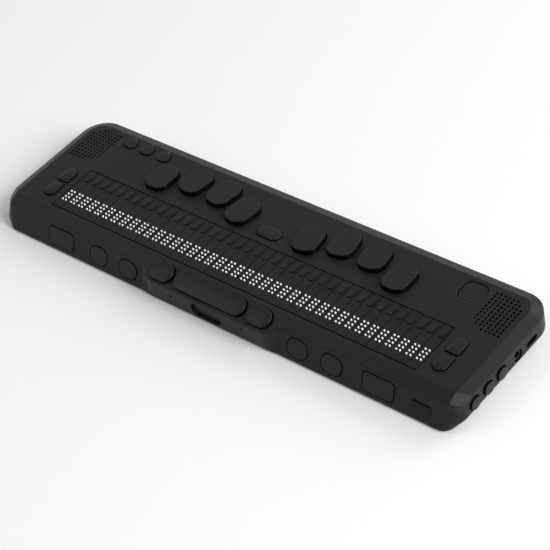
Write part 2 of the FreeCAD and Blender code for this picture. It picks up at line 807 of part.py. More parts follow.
def cell_cap(index):
    """A cell's cap with the opening for its dots and the slot for its routing key."""
    low = cell_start(index) + size("cell_gap") / 2
    high = low + size("cell_pitch") - size("cell_gap")
    cap = box(low, high, CELL_FRONT, CELL_REAR, MODULE_TOP, CELL_TOP)
    middle = dot_middle(index)
    half_x = (size("dot_pitch") + size("dot_side")) / 2 + size("dot_gap")
    dots = box(middle - half_x, middle + half_x, DOT_ROW - DOT_SPAN / 2, DOT_ROW + DOT_SPAN / 2,
               MODULE_TOP, CELL_TOP)
    slot_x = size("routing_width") / 2 + size("key_gap")
    slot_y = size("routing_depth") / 2 + size("key_gap")
    slot = box(middle - slot_x, middle + slot_x, ROUTING_ROW - slot_y, ROUTING_ROW + slot_y,
               MODULE_TOP, CELL_TOP)
    return cap.cut(dots).cut(slot)


def cell_pins(index):
    """Eight pins of square section, whose tips stand above the cap."""
    high = CELL_TOP + size("dot_rise")
    low = high - size("pin_length")
    half = size("dot_side") / 2
    pins = []
    for column in (-0.5, 0.5):
        x = dot_middle(index) + column * size("dot_pitch")
        for row_index in range(CELL_ROWS):
            y = DOT_ROW + (row_index - (CELL_ROWS - 1) / 2) * size("dot_pitch")
            pins.append(box(x - half, x + half, y - half, y + half, low, high))
    return pins


def cell_module(index):
    low = cell_start(index) + size("cell_gap") / 2
    high = low + size("cell_pitch") - size("cell_gap")
    rear = CELL_FRONT + size("module_length")
    return box(low, high, CELL_FRONT, rear, BOARD_TOP, MODULE_TOP)


def routing_key(index):
    """A key that stands a little above its cap."""
    x = size("routing_width") / 2
    y = size("routing_depth") / 2
    middle = dot_middle(index)
    high = CELL_TOP + size("routing_rise")
    return box(middle - x, middle + x, ROUTING_ROW - y, ROUTING_ROW + y,
               high - size("routing_height"), high)


def build_braille_line():
    make_part("cell_caps", Part.makeCompound([cell_cap(index) for index in range(CELLS)]))
    make_part("cell_modules", Part.makeCompound([cell_module(index) for index in range(CELLS)]))
    pins = [pin for index in range(CELLS) for pin in cell_pins(index)]
    make_part("braille_pins", Part.makeCompound(pins))
    for group in range(ROUTING_GROUPS):
        first = CELLS * group // ROUTING_GROUPS
        last = CELLS * (group + 1) // ROUTING_GROUPS
        keys = [routing_key(index) for index in range(first, last)]
        make_part(f"routing_keys_{group + 1}", Part.makeCompound(keys))


# Boards, switches and other inner parts

MAIN_BOARD_TOP = JACK_HEIGHT - size("jack_side") / 2
MAIN_BOARD_LOW = MAIN_BOARD_TOP - size("board_thick")
ARM_REACH = SCROLL_PLACE + size("display_shift") + size("scroll_width") / 2
BOARD_SIDE = LINE_END + size("board_side")
PADS = [(hand * (HALF_LENGTH - size("pad_end")), y) for hand in (-1, 1)
        for y in (NOSE + size("pad_front"), REAR - size("pad_rear"))]
MODULE_REAR = CELL_FRONT + size("module_length")
BAY_FRONT = MODULE_REAR + size("bay_gap")
BAY_REAR = BAY_FRONT + size("battery_depth")
BATTERY_START = size("battery_end") - BOARD_SIDE
BATTERY_END = BATTERY_START + size("battery_length")
WING_FRONT = SIDE_ROW - size("wing_front")
PORT_MOUTH = HALF_LENGTH - size("case_wall") - size("port_gap")
JACK_MOUTH = HALF_LENGTH - size("jack_sink")
SOCKET_LOW = KEY_BOARD_LOW - size("card_thick") - 2 * size("card_wall")
SOCKET_HALF = size("card_width") / 2 + size("card_wall")


def front_wall(z):
    """Where the outside of the slanted front walls stands at a height."""
    return blend(CREASE_FRONT, NOSE + size("front_foot_setback"),
                 (CREASE - z) / (CREASE - size("foot_rise")))


SOCKET_MOUTH = front_wall(KEY_BOARD_TOP) + size("case_wall") + size("fit_gap")


def plate(points, low, thick):
    wire = Part.makePolygon([V(x, y, low) for x, y in points + points[:1]])
    return Part.Face(wire).extrude(V(0, 0, thick))


def build_key_board():
    """A flat board behind the display, with an arm to the scroll keys on either side.

    The right arm runs on to the card socket, which hangs under it.
    """
    front = CELL_REAR + 1.0
    rear = FUNCTION_ROW + size("switch_side") / 2 + size("board_margin")
    arm_front = SCROLL_ROW - size("scroll_depth") - size("scroll_space")
    arm_rear = front + 2.0
    card_side = POCKET_PLACE + SOCKET_HALF + size("board_margin")
    points = [(-BOARD_SIDE, front), (-BOARD_SIDE, arm_front), (-ARM_REACH, arm_front),
              (-ARM_REACH, arm_rear), (-BOARD_SIDE, arm_rear), (-BOARD_SIDE, rear),
              (BOARD_SIDE, rear), (BOARD_SIDE, arm_rear), (card_side, arm_rear),
              (card_side, SOCKET_MOUTH), (BOARD_SIDE, SOCKET_MOUTH), (BOARD_SIDE, front)]
    make_part("key_board", plate(points, KEY_BOARD_LOW, size("board_thick")))


def build_main_board():
    start = BATTERY_END + size("board_end")
    right = JACK_MOUTH - size("board_end")
    inner = BOARD_SIDE + size("root")
    points = [(start, BAY_FRONT), (inner, BAY_FRONT), (inner, WING_FRONT), (right, WING_FRONT),
              (right, BAY_REAR), (start, BAY_REAR)]
    make_part("main_board", plate(points, MAIN_BOARD_LOW, size("board_thick")))


def build_inner_parts():
    board = box(LINE_START, LINE_END, CELL_FRONT, MODULE_REAR, FLOOR, BOARD_TOP)
    make_part("cell_board", board)
    pack = box(BATTERY_START, BATTERY_END, BAY_FRONT, BAY_REAR, FLOOR, KEY_BOARD_LOW - size("battery_room"))
    make_part("battery", pack)
    build_key_board()
    build_main_board()
    x_half = size("speaker_width") / 2
    y_half = size("speaker_depth") / 2
    columns = max(last for first, last in GRILLE_ROWS) - 1
    middle_x = GRILLE_INNER + columns / 2 * size("grille_pitch")
    middle_y = GRILLE_FRONT + (len(GRILLE_ROWS) - 1) / 2 * size("grille_pitch")
    under = TOP - size("cover_wall")
    for name, hand in (("speaker_left", -1), ("speaker_right", 1)):
        x = hand * middle_x
        make_part(name, box(x - x_half, x + x_half, middle_y - y_half, middle_y + y_half,
                            under - size("speaker_height"), under))


def tilted_board(node, place, spans, depth, low, high):
    """A board behind a slanted face: spans across, and how far it runs either side of its keys."""
    boards = [box(start, end, low, high, -depth - size("board_thick"), -depth) for start, end in spans]
    whole = boards[0] if len(boards) == 1 else Part.makeCompound(boards)
    make_part(node, whole, place)


def build_slanted_boards():
    end = THUMB_END + size("post_space") + size("post_thick")
    tilted_board("thumb_board", bevel_place(0, size("thumb_down")), [(-end, end)],
                 size("thumb_board_drop"), -size("thumb_board_front"), size("thumb_board_rear"))
    start = FRONT_FIRST - size("front_board_end")
    end = FRONT_THIRD + size("front_board_end")
    for name, span in (("front_board_left", (-end, -start)), ("front_board_right", (start, end))):
        tilted_board(name, wall_place(0, size("front_down")), [span],
                     size("front_board_drop"), -size("front_board_low"), size("front_board_high"))
    reach = size("side_pitch") + size("wing_front")
    low = MAIN_BOARD_TOP + size("board_rise") - SIDE_HEIGHT
    place = side_place(SIDE_ROW, SIDE_HEIGHT)
    board = box(size("side_board_inset") - size("side_width") / 2, -low, -reach, reach,
                -size("side_board_drop") - size("board_thick"), -size("side_board_drop"))
    make_part("side_board", board, place)


def build_switches():
    """One low push switch on the board behind each key."""
    switches = []
    for spec in KEYS:
        depth = size(BOARD_DROPS.get(spec["family"], "top_board_drop"))
        half = size("switch_side") / 2
        switch = box(-half, half, -half, half, -depth, size("switch_height") - depth)
        switches.append(placed(switch, spec["place"]))
    make_part("key_switches", Part.makeCompound(switches))


def build_ports():
    """A jack whose barrel reaches through the wall, and a port behind its slot."""
    jack_y = size("jack_place")
    jack_z = JACK_HEIGHT
    inner = HALF_LENGTH - size("case_wall") - 0.3
    half = size("jack_side") / 2
    block = box(JACK_MOUTH - size("jack_length"), inner, jack_y - half, jack_y + half,
                jack_z - half, jack_z + half)
    axis = V(1, 0, 0)
    root = V(inner - 1, jack_y, jack_z)
    barrel = Part.makeCylinder(size("jack_barrel"), JACK_MOUTH - inner + 1, root, axis)
    bore = Part.makeCylinder(size("jack_bore"), size("jack_length"),
                             V(JACK_MOUTH - size("jack_length") + 1.5, jack_y, jack_z), axis)
    make_part("audio_jack", block.fuse(barrel).cut(bore).removeSplitter())
    port_place = side_place(size("port_place"), PORT_HEIGHT)
    port_place.Base.x = PORT_MOUTH
    thick = size("port_thick")
    width = size("port_width")
    wall = size("port_wall")
    length = size("port_length")
    shell = rounded_prism(thick, width, thick / 2 - 0.01, -length, 0)
    hollow = rounded_prism(thick - 2 * wall, width - 2 * wall, thick / 2 - wall - 0.01, 0.5 - length, 0)
    tongue_x = size("tongue_thick") / 2
    tongue_y = size("tongue_width") / 2
    tongue = box(-tongue_x, tongue_x, -tongue_y, tongue_y, -length, -size("tongue_sink"))
    foot_y = size("port_foot_width") / 2
    foot = box(thick / 2 - size("root"), PORT_HEIGHT - MAIN_BOARD_TOP, -foot_y, foot_y,
               -length, -size("port_foot_sink"))
    port = shell.cut(hollow).fuse(tongue).fuse(foot.cut(hollow)).removeSplitter()
    make_part("usb_c_port", port, port_place)
    capsules = []
    half = size("mic_side") / 2
    start = NOSE + size("case_wall")
    for hand in (-1, 1):
        x = hand * size("mic_place")
        z = MIC_HEIGHT
        capsules.append(box(x - half, x + half, start, start + size("mic_thick"), z - half, z + half))
    make_part("microphones", Part.makeCompound(capsules))
    low = SOCKET_LOW + size("card_wall")
    half = size("card_width") / 2
    socket = box(POCKET_PLACE - SOCKET_HALF, POCKET_PLACE + SOCKET_HALF, SOCKET_MOUTH,
                 SOCKET_MOUTH + size("card_depth") + size("card_wall"), SOCKET_LOW, KEY_BOARD_LOW)
    room = box(POCKET_PLACE - half, POCKET_PLACE + half, SOCKET_MOUTH, SOCKET_MOUTH + size("card_depth"),
               low, low + size("card_thick"))
    make_part("card_socket", socket.cut(room))


def indicator_places():
    for index in range(3):
        x = (index - 1) * size("function_pitch") - FUNCTION_MIDDLE - size("indicator_shift")
        yield x, FUNCTION_ROW + size("indicator_row")


def small_box(x, y, side, low, high):
    """An upright box of square section."""
    half = side / 2
    return box(x - half, x + half, y - half, y + half, low, high)


def build_feet_and_windows():
    x_half = size("pad_length") / 2
    y_half = size("pad_width") / 2
    pads = [box(x - x_half, x + x_half, y - y_half, y + y_half, 0, size("foot_rise")) for x, y in PADS]
    make_part("rubber_feet", Part.makeCompound(pads))
    windows = [small_box(x, y, size("indicator_side"), TOP - size("cover_wall"), TOP)
               for x, y in indicator_places()]
    make_part("indicator_windows", Part.makeCompound(windows))


# Housing


def grille_holes(hand):
    """Square-cut holes on the grille's grid, mirrored for the left side."""
    holes = []
    for row_index, (first, last) in enumerate(GRILLE_ROWS):
        y = GRILLE_FRONT + row_index * size("grille_pitch")
        for column in range(first, last):
            x = hand * (GRILLE_INNER + column * size("grille_pitch"))
            holes.append(small_box(x, y, size("grille_hole"), TOP - size("cover_wall") - 1, TOP + 1))
    return holes


def build_top_cover():
    """A lid with bevelled edges that rests on the walls and reaches a little inside them."""
    wall = size("case_wall")
    lid = bevel_form().common(wall_form()).cut(bevel_form(size("cover_wall")))
    lid = lid.cut(bevel_form(size("cover_edge")).cut(wall_form(wall + size("fit_gap"))))
    under = TOP - size("cover_wall")
    bosses = []
    hook_rear = REAR - wall - size("fit_gap") - 0.05
    half = size("hook_width") / 2
    for step in (-1, 0, 1):
        x = step * (HALF_LENGTH - size("hook_end"))
        bosses.append(box(x - half, x + half, hook_rear - size("hook_thick"), hook_rear,
                          CREASE - size("hook_reach"), CREASE + 0.5))
    slope_depth = size("thumb_board_drop")
    post_half = size("post_thick") / 2
    for hand in (-1, 1):
        x = hand * (THUMB_END + size("post_space") + post_half)
        post = box(x - post_half, x + post_half, -size("rib_thick"), size("thumb_board_rear"),
                   -slope_depth, -number(BEVEL_PANEL) / 2)
        bosses.append(placed(post, bevel_place(0, size("thumb_down"))))
    lid = lid.fuse(bosses)
    holes = [box(LINE_START - size("window_gap"), LINE_END + size("window_gap"), WINDOW_FRONT,
                 WINDOW_REAR, under - 1, TOP + 1), power_rim()]
    for spec in keys_of("entry", "space", "function", "scroll", "power", "thumb"):
        holes.append(key_opening(spec, -size("cover_wall") - 1, 2))
    for hand in (-1, 1):
        holes += grille_holes(hand)
    for x, y in indicator_places():
        holes.append(small_box(x, y, size("indicator_side") + 0.1, under - 1, TOP + 1))
    make_part("top_cover", lid.cut(Part.makeCompound(holes)))


def power_rim():
    """A wide chamfer round the opening of the power button."""
    wires = []
    for grow, z in ((0, -size("power_rim")), (size("power_rim"), 0), (size("power_rim"), 1)):
        reach = size("key_gap") + grow
        corner = size("power_corner") + reach
        wires.append(rounded_wire(size("power_width") + 2 * reach, size("power_depth") + 2 * reach,
                                  corner, corner, z))
    return placed(Part.makeLoft(wires, True, True), top_place(POWER_PLACE, POWER_ROW))


def keys_of(*families):
    return [spec for spec in KEYS if spec["family"] in families]


def case_ribs():
    """What stands on the floor and the walls inside the case to carry the boards."""
    grip_half = size("grip_width") / 2 + size("grip_side_wall")
    inner_nose = NOSE + size("case_wall")
    low = FLOOR - size("root")
    ribs = [box(-grip_half, grip_half, inner_nose - size("root"), inner_nose + size("grip_back_wall"),
                low, GRIP_TOP + size("grip_top_wall"))]
    thick = size("rib_thick")
    rows = (BAY_FRONT + size("rib_front"), BAY_REAR - size("rib_rear"))
    for y in rows:
        ribs.append(box(BATTERY_END + size("rib_end"), BOARD_SIDE, y, y + thick, low, MAIN_BOARD_LOW))
    right = JACK_MOUTH - size("rib_end")
    for y in (WING_FRONT + size("rib_wing"),) + rows:
        ribs.append(box(BOARD_SIDE + size("rib_step"), right, y, y + thick, low, MAIN_BOARD_LOW))
    post_half = size("post_thick") / 2
    between = ((FRONT_FIRST + FRONT_SECOND) / 2, (FRONT_SECOND + ROUND_HALF + FRONT_THIRD - BLOCK_HALF) / 2)
    for x in between:
        for hand in (-1, 1):
            post = box(hand * x - post_half, hand * x + post_half, -size("rib_step"), size("rib_front"),
                       -size("front_board_drop"), -size("case_wall") / 2)
            ribs.append(placed(post, wall_place(0, size("front_down"))))
    return ribs


def build_bottom_case():
    """A tray with slanted front walls, a nose in the middle and undercut sides."""
    wall = size("case_wall")
    lowered = bevel_form(size("cover_edge") + size("parting_gap"))
    cavity = wall_form(wall).cut(box(-HALF_LENGTH, HALF_LENGTH, NOSE, REAR, -5, FLOOR))
    case = wall_form().common(lowered).cut(cavity).fuse(case_ribs())
    cuts = [grip_tool(), pocket_tool()]
    cuts += [key_opening(spec, -wall - size("front_travel") - 1, 1) for spec in keys_of("front")]
    cuts += [flange_room(spec) for spec in keys_of("front", "thumb")]
    cuts += [key_opening(spec, -wall - 1, 1) for spec in keys_of("side")]
    deepest = size("cover_wall") + size("thumb_travel") + 1
    cuts += [key_opening(spec, -deepest, 2) for spec in keys_of("thumb")]
    jack = V(HALF_LENGTH - wall - 1, size("jack_place"), JACK_HEIGHT)
    cuts.append(Part.makeCylinder(size("jack_barrel") + size("fit_gap"), wall + 3, jack, V(1, 0, 0)))
    slot = rounded_prism(size("port_thick") + 0.1, size("port_width") + 0.1,
                         size("port_thick") / 2 + 0.04, -wall - 1, 1)
    cuts.append(placed(slot, side_place(size("port_place"), PORT_HEIGHT)))
    half = size("mic_hole") / 2
    for hand in (-1, 1):
        x = hand * size("mic_place")
        cuts.append(box(x - half, x + half, NOSE - 1, NOSE + wall + 1, MIC_HEIGHT - half, MIC_HEIGHT + half))
    half = size("card_width") / 2
    low = SOCKET_LOW + size("card_wall")
    cuts.append(box(POCKET_PLACE - half, POCKET_PLACE + half, NOSE - 1, SOCKET_MOUTH, low,
                    low + size("card_thick")))
    make_part("bottom_case", case.cut(Part.makeCompound(cuts)))


def scoop(place, width, depth, corner, profile):
    """A recess with a rounded outline, whose floor follows a profile up and into its face."""
    prism = rounded_prism(width, depth, corner, -size("case_wall"), 1)
    points = [V(-width, y, z) for y, z in [(profile[0][0], 1)] + profile + [(profile[-1][0], 1)]]
    wedge = Part.Face(Part.makePolygon(points + points[:1])).extrude(V(2 * width, 0, 0))
    return placed(prism.common(wedge), place)


def grip_tool():
    """A long rounded recess that slopes in from its top and ends on a ledge."""
    height = GRIP_TOP - GRIP_LOW
    half = height / 2
    ledge = blend(-half, half, 0.22)
    place = FreeCAD.Placement(V(0, NOSE, (GRIP_TOP + GRIP_LOW) / 2), FreeCAD.Rotation(V(1, 0, 0), 90))
    return scoop(place, size("grip_width"), height, half - 0.2,
                 [(-half, 0), (ledge, -size("grip_sink")), (half, 0)])


def pocket_tool():
    """A recess whose floor runs in to the card slot at its top."""
    half = size("pocket_depth") / 2
    sink = size("pocket_sink")
    top = half - size("pocket_lip")
    profile = [(-half, 0), (top - size("pocket_flat"), -sink), (top, -sink), (half, 0)]
    return scoop(wall_place(POCKET_PLACE, size("pocket_down")), size("pocket_width"),
                 size("pocket_depth"), size("pocket_corner"), profile)


def check_and_export():
    """Stop on any failed feature, then write one file for each sub-part."""
    doc.recompute()
    for item in doc.Objects:
        if "Invalid" in item.State or "Error" in item.State:
            raise RuntimeError(f"{item.Name} failed: {item.State}")
    os.makedirs("parts", exist_ok=True)
    for item in doc.Objects:
        if item.TypeId not in ("PartDesign::Body", "Part::Feature"):
            continue
        if item.Shape.isNull() or not item.Shape.isValid():
            raise RuntimeError(f"{item.Label} has no valid shape")
        item.Shape.exportStep(f"parts/{item.Label}.step")
        print(item.Label, len(item.Shape.Solids), round(item.Shape.Volume, 1))


for spec in KEYS:
    make_key(spec)
build_braille_line()
build_inner_parts()
build_slanted_boards()
build_switches()
build_ports()
build_feet_and_windows()
build_top_cover()
build_bottom_case()
check_and_export()
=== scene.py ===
"""Looks of a forty-cell braille display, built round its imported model.

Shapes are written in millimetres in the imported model's frame, and turned into metres where a mesh
is made. Each key is built in its own frame, whose Z axis leaves the face that the key stands in.
"""
import json
import math

import bmesh
import bpy
from mathutils import Matrix, Vector
from mathutils.geometry import delaunay_2d_cdt


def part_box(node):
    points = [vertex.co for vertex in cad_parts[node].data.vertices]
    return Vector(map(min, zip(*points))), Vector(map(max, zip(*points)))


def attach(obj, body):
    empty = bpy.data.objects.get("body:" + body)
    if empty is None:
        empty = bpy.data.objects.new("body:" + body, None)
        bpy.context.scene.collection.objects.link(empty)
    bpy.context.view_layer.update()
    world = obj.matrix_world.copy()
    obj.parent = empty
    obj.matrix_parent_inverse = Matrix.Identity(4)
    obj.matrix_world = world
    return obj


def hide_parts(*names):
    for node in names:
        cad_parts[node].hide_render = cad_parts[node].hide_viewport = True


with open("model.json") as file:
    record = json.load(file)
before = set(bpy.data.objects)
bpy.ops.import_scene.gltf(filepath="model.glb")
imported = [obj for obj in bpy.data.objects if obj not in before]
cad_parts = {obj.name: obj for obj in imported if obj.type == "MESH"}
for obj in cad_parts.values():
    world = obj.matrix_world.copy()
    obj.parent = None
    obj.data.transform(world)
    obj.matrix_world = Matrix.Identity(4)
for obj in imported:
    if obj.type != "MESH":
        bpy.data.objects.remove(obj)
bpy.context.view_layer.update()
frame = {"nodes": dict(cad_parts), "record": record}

MM = 0.001


def box_mm(node):
    """A node's lowest and highest corner, in millimetres."""
    low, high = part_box(node)
    return low / MM, high / MM


# Places and sizes of the case, in millimetres
cover_low, cover_high = box_mm("top_cover")
case_low, case_high = box_mm("bottom_case")
HALF_LENGTH = case_high.x
REAR = case_high.y
NOSE = case_low.y
TOP = cover_high.z
FOOT = case_low.z
BEVEL_WIDTH = 6.2
BEVEL_DROP = 2.9
CREASE = TOP - BEVEL_DROP
FACE_FRONT = NOSE + 12.6
CREASE_FRONT = NOSE + 6.75
FOOT_FRONT = NOSE + 0.6
FACE_SIDE = HALF_LENGTH - BEVEL_WIDTH
FACE_REAR = REAR - BEVEL_WIDTH
FACET_WIDTH = 6.2
FACET_DEPTH = 10.6
REAR_CORNER = 15.0
UNDERCUT = 4.4
WAIST = FOOT + UNDERCUT
NOSE_HALF = 38.5
NOSE_SWEEP = 12.5
CORNER_WIDTH = 5.45
CORNER_EDGE = 0.75
CORNER_SPLIT = 5.8
CORNER_DEPTH = 10.8
WAIST_CORNER = 8.5
FOOT_CORNER = 6.0
WALL = 2.0
FLOOR = FOOT + 1.8
COVER_EDGE = 0.6
PARTING_GAP = 0.25
SKIRT_GAP = 0.3
POINT_MERGE = 0.02
FLAT_ANGLE = 0.1
CREASE_ROUND = 0.3
CREASE_ANGLE = 12
CREASE_MERGE = 0.4  # longer than the round, so that no short edge makes the crease uneven
SMOOTH_ANGLE = 35
BEVEL_ANGLE = math.atan2(BEVEL_DROP, BEVEL_WIDTH)
WALL_LEAN = math.atan2(FOOT_FRONT - CREASE_FRONT, CREASE - FOOT)

# How far tools that cut an opening reach below and above its face
CUT_BELOW = 4.5
CUT_ABOVE = 1.2


# Meshes


def make_mesh(name, points, faces):
    """An object from points in millimetres."""
    mesh = bpy.data.meshes.new(name)
    mesh.from_pydata([tuple(Vector(point) * MM) for point in points], [], faces)
    piece = bpy.data.objects.new(name, mesh)
    bpy.context.scene.collection.objects.link(piece)
    return piece


def turn_outward(piece):
    """Turns every face so that it looks out of the solid."""
    shell = bmesh.new()
    shell.from_mesh(piece.data)
    bmesh.ops.recalc_face_normals(shell, faces=shell.faces)
    shell.to_mesh(piece.data)
    shell.free()


def loft(name, loops, deep=0):
    """A closed solid through loops of equal length, whose first bands can take the second finish."""
    count = len(loops[0])
    points = [point for loop in loops for point in loop]
    faces = [tuple(range(count))]
    for row in range(len(loops) - 1):
        for index in range(count):
            after = (index + 1) % count
            faces.append((row * count + index, row * count + after,
                          (row + 1) * count + after, (row + 1) * count + index))
    faces.append(tuple(range((len(loops) - 1) * count, len(loops) * count)))
    piece = make_mesh(name, points, faces)
    turn_outward(piece)
    for face in piece.data.polygons[:1 + deep * count]:
        face.material_index = int(deep > 0)
    return piece


def add_slots(piece):
    """Two empty places for finishes, so that a boolean keeps which face has which."""
    for index in range(2 - len(piece.data.materials)):
        piece.data.materials.append(None)


def apply_modifiers(piece):
    """Makes the mesh what the modifiers show, and takes them off."""
    graph = bpy.context.evaluated_depsgraph_get()
    mesh = bpy.data.meshes.new_from_object(piece.evaluated_get(graph))
    piece.modifiers.clear()
    piece.data = mesh


def weld(piece, near=POINT_MERGE):
    """Merges points that lie near each other and faces that lie in one plane."""
    shell = bmesh.new()
    shell.from_mesh(piece.data)
    bmesh.ops.remove_doubles(shell, verts=shell.verts, dist=near * MM)
    bmesh.ops.dissolve_limit(shell, angle_limit=math.radians(FLAT_ANGLE), verts=shell.verts,
                             edges=shell.edges)
    shell.to_mesh(piece.data)
    shell.free()


def combine(piece, tool, operation):
    """A boolean of a piece with a tool, which is used up."""
    add_slots(piece)
    add_slots(tool)
    modifier = piece.modifiers.new("combine", "BOOLEAN")
    modifier.operation = operation
    modifier.solver = "EXACT"
    modifier.object = tool
    apply_modifiers(piece)
    bpy.data.objects.remove(tool)


def add_round(piece, width, angle=30):
    """Rounds the edges whose faces turn by more than an angle in degrees."""
    modifier = piece.modifiers.new("round", "BEVEL")
    modifier.width = width * MM
    modifier.segments = 3
    modifier.limit_method = "ANGLE"
    modifier.angle_limit = math.radians(angle)


def smooth(piece):
    """Smooth shading between flat faces that keep their own normals."""
    piece.data.shade_smooth()
    piece.data.set_sharp_from_angle(angle=math.radians(SMOOTH_ANGLE))
    weighted = piece.modifiers.new("normals", "WEIGHTED_NORMAL")
    weighted.keep_sharp = True


def join(name, pieces):
    """One object from several, whose meshes are put together."""
    whole = bmesh.new()
    for piece in pieces:
        whole.from_mesh(piece.data)
        bpy.data.objects.remove(piece)
    mesh = bpy.data.meshes.new(name)
    whole.to_mesh(mesh)
    whole.free()
    joined = bpy.data.objects.new(name, mesh)
    bpy.context.scene.collection.objects.link(joined)
    return joined


# Outlines


def arc(centre_x, centre_y, radius, first, last, steps):
    """Points from a first to a last angle, in degrees."""
    points = []
    for step in range(steps + 1):
        angle = math.radians(first + (last - first) * step / steps)
        points.append((centre_x + radius * math.cos(angle), centre_y + radius * math.sin(angle)))
    return points


def chord(start, end, bulge, steps):
    """Points after the start of an arc that stands off its chord by a share of the chord."""
    half_turn = 2 * math.atan(2 * bulge)
    along = Vector(end) - Vector(start)
    middle = (Vector(start) + Vector(end)) / 2
    outward = Vector((along.y, -along.x)).normalized()
    points = []
    for step in range(1, steps + 1):
        share = 2 * step / steps - 1
        if bulge:
            radius = along.length / 2 / math.sin(half_turn)
            turn = half_turn * share
            point = middle + along.normalized() * radius * math.sin(turn)
            point += outward * radius * (math.cos(turn) - math.cos(half_turn))
        else:
            point = middle + along / 2 * share
        points.append(tuple(point))
    return points


def rounded_outline(width, depth, front, rear, grow=0.0, steps=8):
    """Points round a rectangle with rounded corners, anticlockwise from its front right corner."""
    x = width / 2 + grow
    y = depth / 2 + grow
    front = max(front + grow, 0.05)
    rear = max(rear + grow, 0.05)
    points = arc(x - front, front - y, front, -90, 0, steps)
    points += arc(x - rear, y - rear, rear, 0, 90, steps)
    points += arc(rear - x, y - rear, rear, 90, 180, steps)
    points += arc(front - x, front - y, front, 180, 270, steps)
    return points


def blend(first, last, share):
    """The value at a share of the way from the first to the last."""
    return first + (last - first) * share


def mirrored(half):
    """A closed outline from its right half, which runs from the front to the rear."""
    return half + [(-x, y) for x, y in reversed(half)]


SWEEP_STEPS = 10
CORNER_STEPS = 6
REAR_STEPS = 14
TOOL_STEPS = 17  # other than REAR_STEPS, so that a lowered copy shares no edge with its original
LOW_CORNER_PART = 20
LEAST_FACET = 0.04
BEVEL_MARGIN = 0.5
BEVEL_FLOOR = -5


def wall_outline(z, inset=0.0):
    """The plan of the walls at one height, taken in by an inset."""
    share = (CREASE - z) / (CREASE - FOOT)
    undercut = max(0.0, WAIST - z)
    nose = NOSE + inset
    front = blend(CREASE_FRONT, FOOT_FRONT, share)
    side = HALF_LENGTH - undercut
    if z > WAIST:
        first = math.atan2(CORNER_SPLIT, CORNER_WIDTH - CORNER_EDGE)
        second = math.atan2(CORNER_DEPTH - CORNER_SPLIT, CORNER_EDGE)
        middle = (first + second) / 2
        shift = inset / math.cos((second - first) / 2)
        corner = [
            (side - CORNER_WIDTH - inset * math.tan(first / 2), front + inset),
            (side - CORNER_EDGE - shift * math.sin(middle),
             front + CORNER_SPLIT + shift * math.cos(middle)),
            (side - inset, front + CORNER_DEPTH + inset * math.tan((math.pi / 2 - second) / 2)),
        ]
        bulges = (0, 0)
    else:
        radius = blend(WAIST_CORNER, FOOT_CORNER, undercut / UNDERCUT) - inset
        part = math.radians(LOW_CORNER_PART)
        corner = [
            (side - inset - radius, front + inset),
            (side - inset - radius * (1 - math.cos(part)),
             front + inset + radius * (1 - math.sin(part))),
            (side - inset, front + inset + radius),
        ]
        bulges = (math.tan((math.pi / 2 - part) / 4) / 2, math.tan(part / 4) / 2)
    front += inset
    side -= inset
    rear = REAR - undercut - inset
    radius = REAR_CORNER - undercut - inset
    half = []
    x_half = NOSE_SWEEP / 2
    y_half = (front - nose) / 2
    sweep = (x_half ** 2 + y_half ** 2) / (2 * y_half)
    turn = math.asin(x_half / sweep)
    for step in range(SWEEP_STEPS + 1):
        angle = turn * step / SWEEP_STEPS
        half.append((NOSE_HALF + sweep * math.sin(angle), nose + sweep * (1 - math.cos(angle))))
    for step in range(SWEEP_STEPS - 1, -1, -1):
        angle = turn * step / SWEEP_STEPS
        half.append((NOSE_HALF + NOSE_SWEEP - sweep * math.sin(angle),
                     front - sweep * (1 - math.cos(angle))))
    half.append(corner[0])
    half += chord(corner[0], corner[1], bulges[0], CORNER_STEPS)
    half += chord(corner[1], corner[2], bulges[1], CORNER_STEPS)
    half += arc(side - radius, rear - radius, radius, 0, 90, REAR_STEPS)
    return [(x, y, z) for x, y in mirrored(half)]


def wall_form(name, inset=0.0, low=FOOT):
    """The solid inside the walls, from a height to above the top face."""
    return loft(name, [wall_outline(z, inset) for z in (TOP + 1, WAIST, low)])


def bevel_outline(z, reach, steps):
    """The plan of the bevels, reach 0 at the top face and 1 at the crease of the sides."""
    front = FACE_FRONT - BEVEL_WIDTH * reach
    side = FACE_SIDE + BEVEL_WIDTH * reach
    rear = FACE_REAR + BEVEL_WIDTH * reach
    radius = REAR_CORNER - BEVEL_WIDTH * (1 - reach)
    facet = max(reach, LEAST_FACET)
    half = [(side - FACET_WIDTH * facet, front), (side, front + FACET_DEPTH * facet)]
    half += arc(side - radius, rear - radius, radius, 0, 90, steps)
    return [(x, y, z) for x, y in mirrored(half)]


def bevel_form(name, drop=0.0):
    """The solid under the top face and the bevels, lowered by a drop."""
    reach = (FACE_FRONT - NOSE) / BEVEL_WIDTH + BEVEL_MARGIN
    low = TOP - BEVEL_DROP * reach
    steps = TOOL_STEPS if drop else REAR_STEPS
    return loft(name, [
        [(x, y, z - drop) for x, y, z in bevel_outline(TOP, 0, steps)],
        [(x, y, z - drop) for x, y, z in bevel_outline(low, reach, steps)],
        [(x, y, z - drop) for x, y, z in bevel_outline(BEVEL_FLOOR, reach, steps)],
    ])


def body_form(name):
    """The whole outside of the case, with its creases rounded a little."""
    body = bevel_form(name)
    combine(body, wall_form("walls"), "INTERSECT")
    weld(body, CREASE_MERGE)
    add_round(body, CREASE_ROUND, CREASE_ANGLE)
    apply_modifiers(body)
    weld(body)
    return body


# Frames of the faces


def face_frame(origin, x_axis, z_axis):
    """A frame from its origin and its X and Z axes."""
    z_axis = Vector(z_axis).normalized()
    x_axis = Vector(x_axis).normalized()
    y_axis = z_axis.cross(x_axis)
    matrix = Matrix((x_axis, y_axis, z_axis)).transposed().to_4x4()
    matrix.translation = Vector(origin)
    return matrix


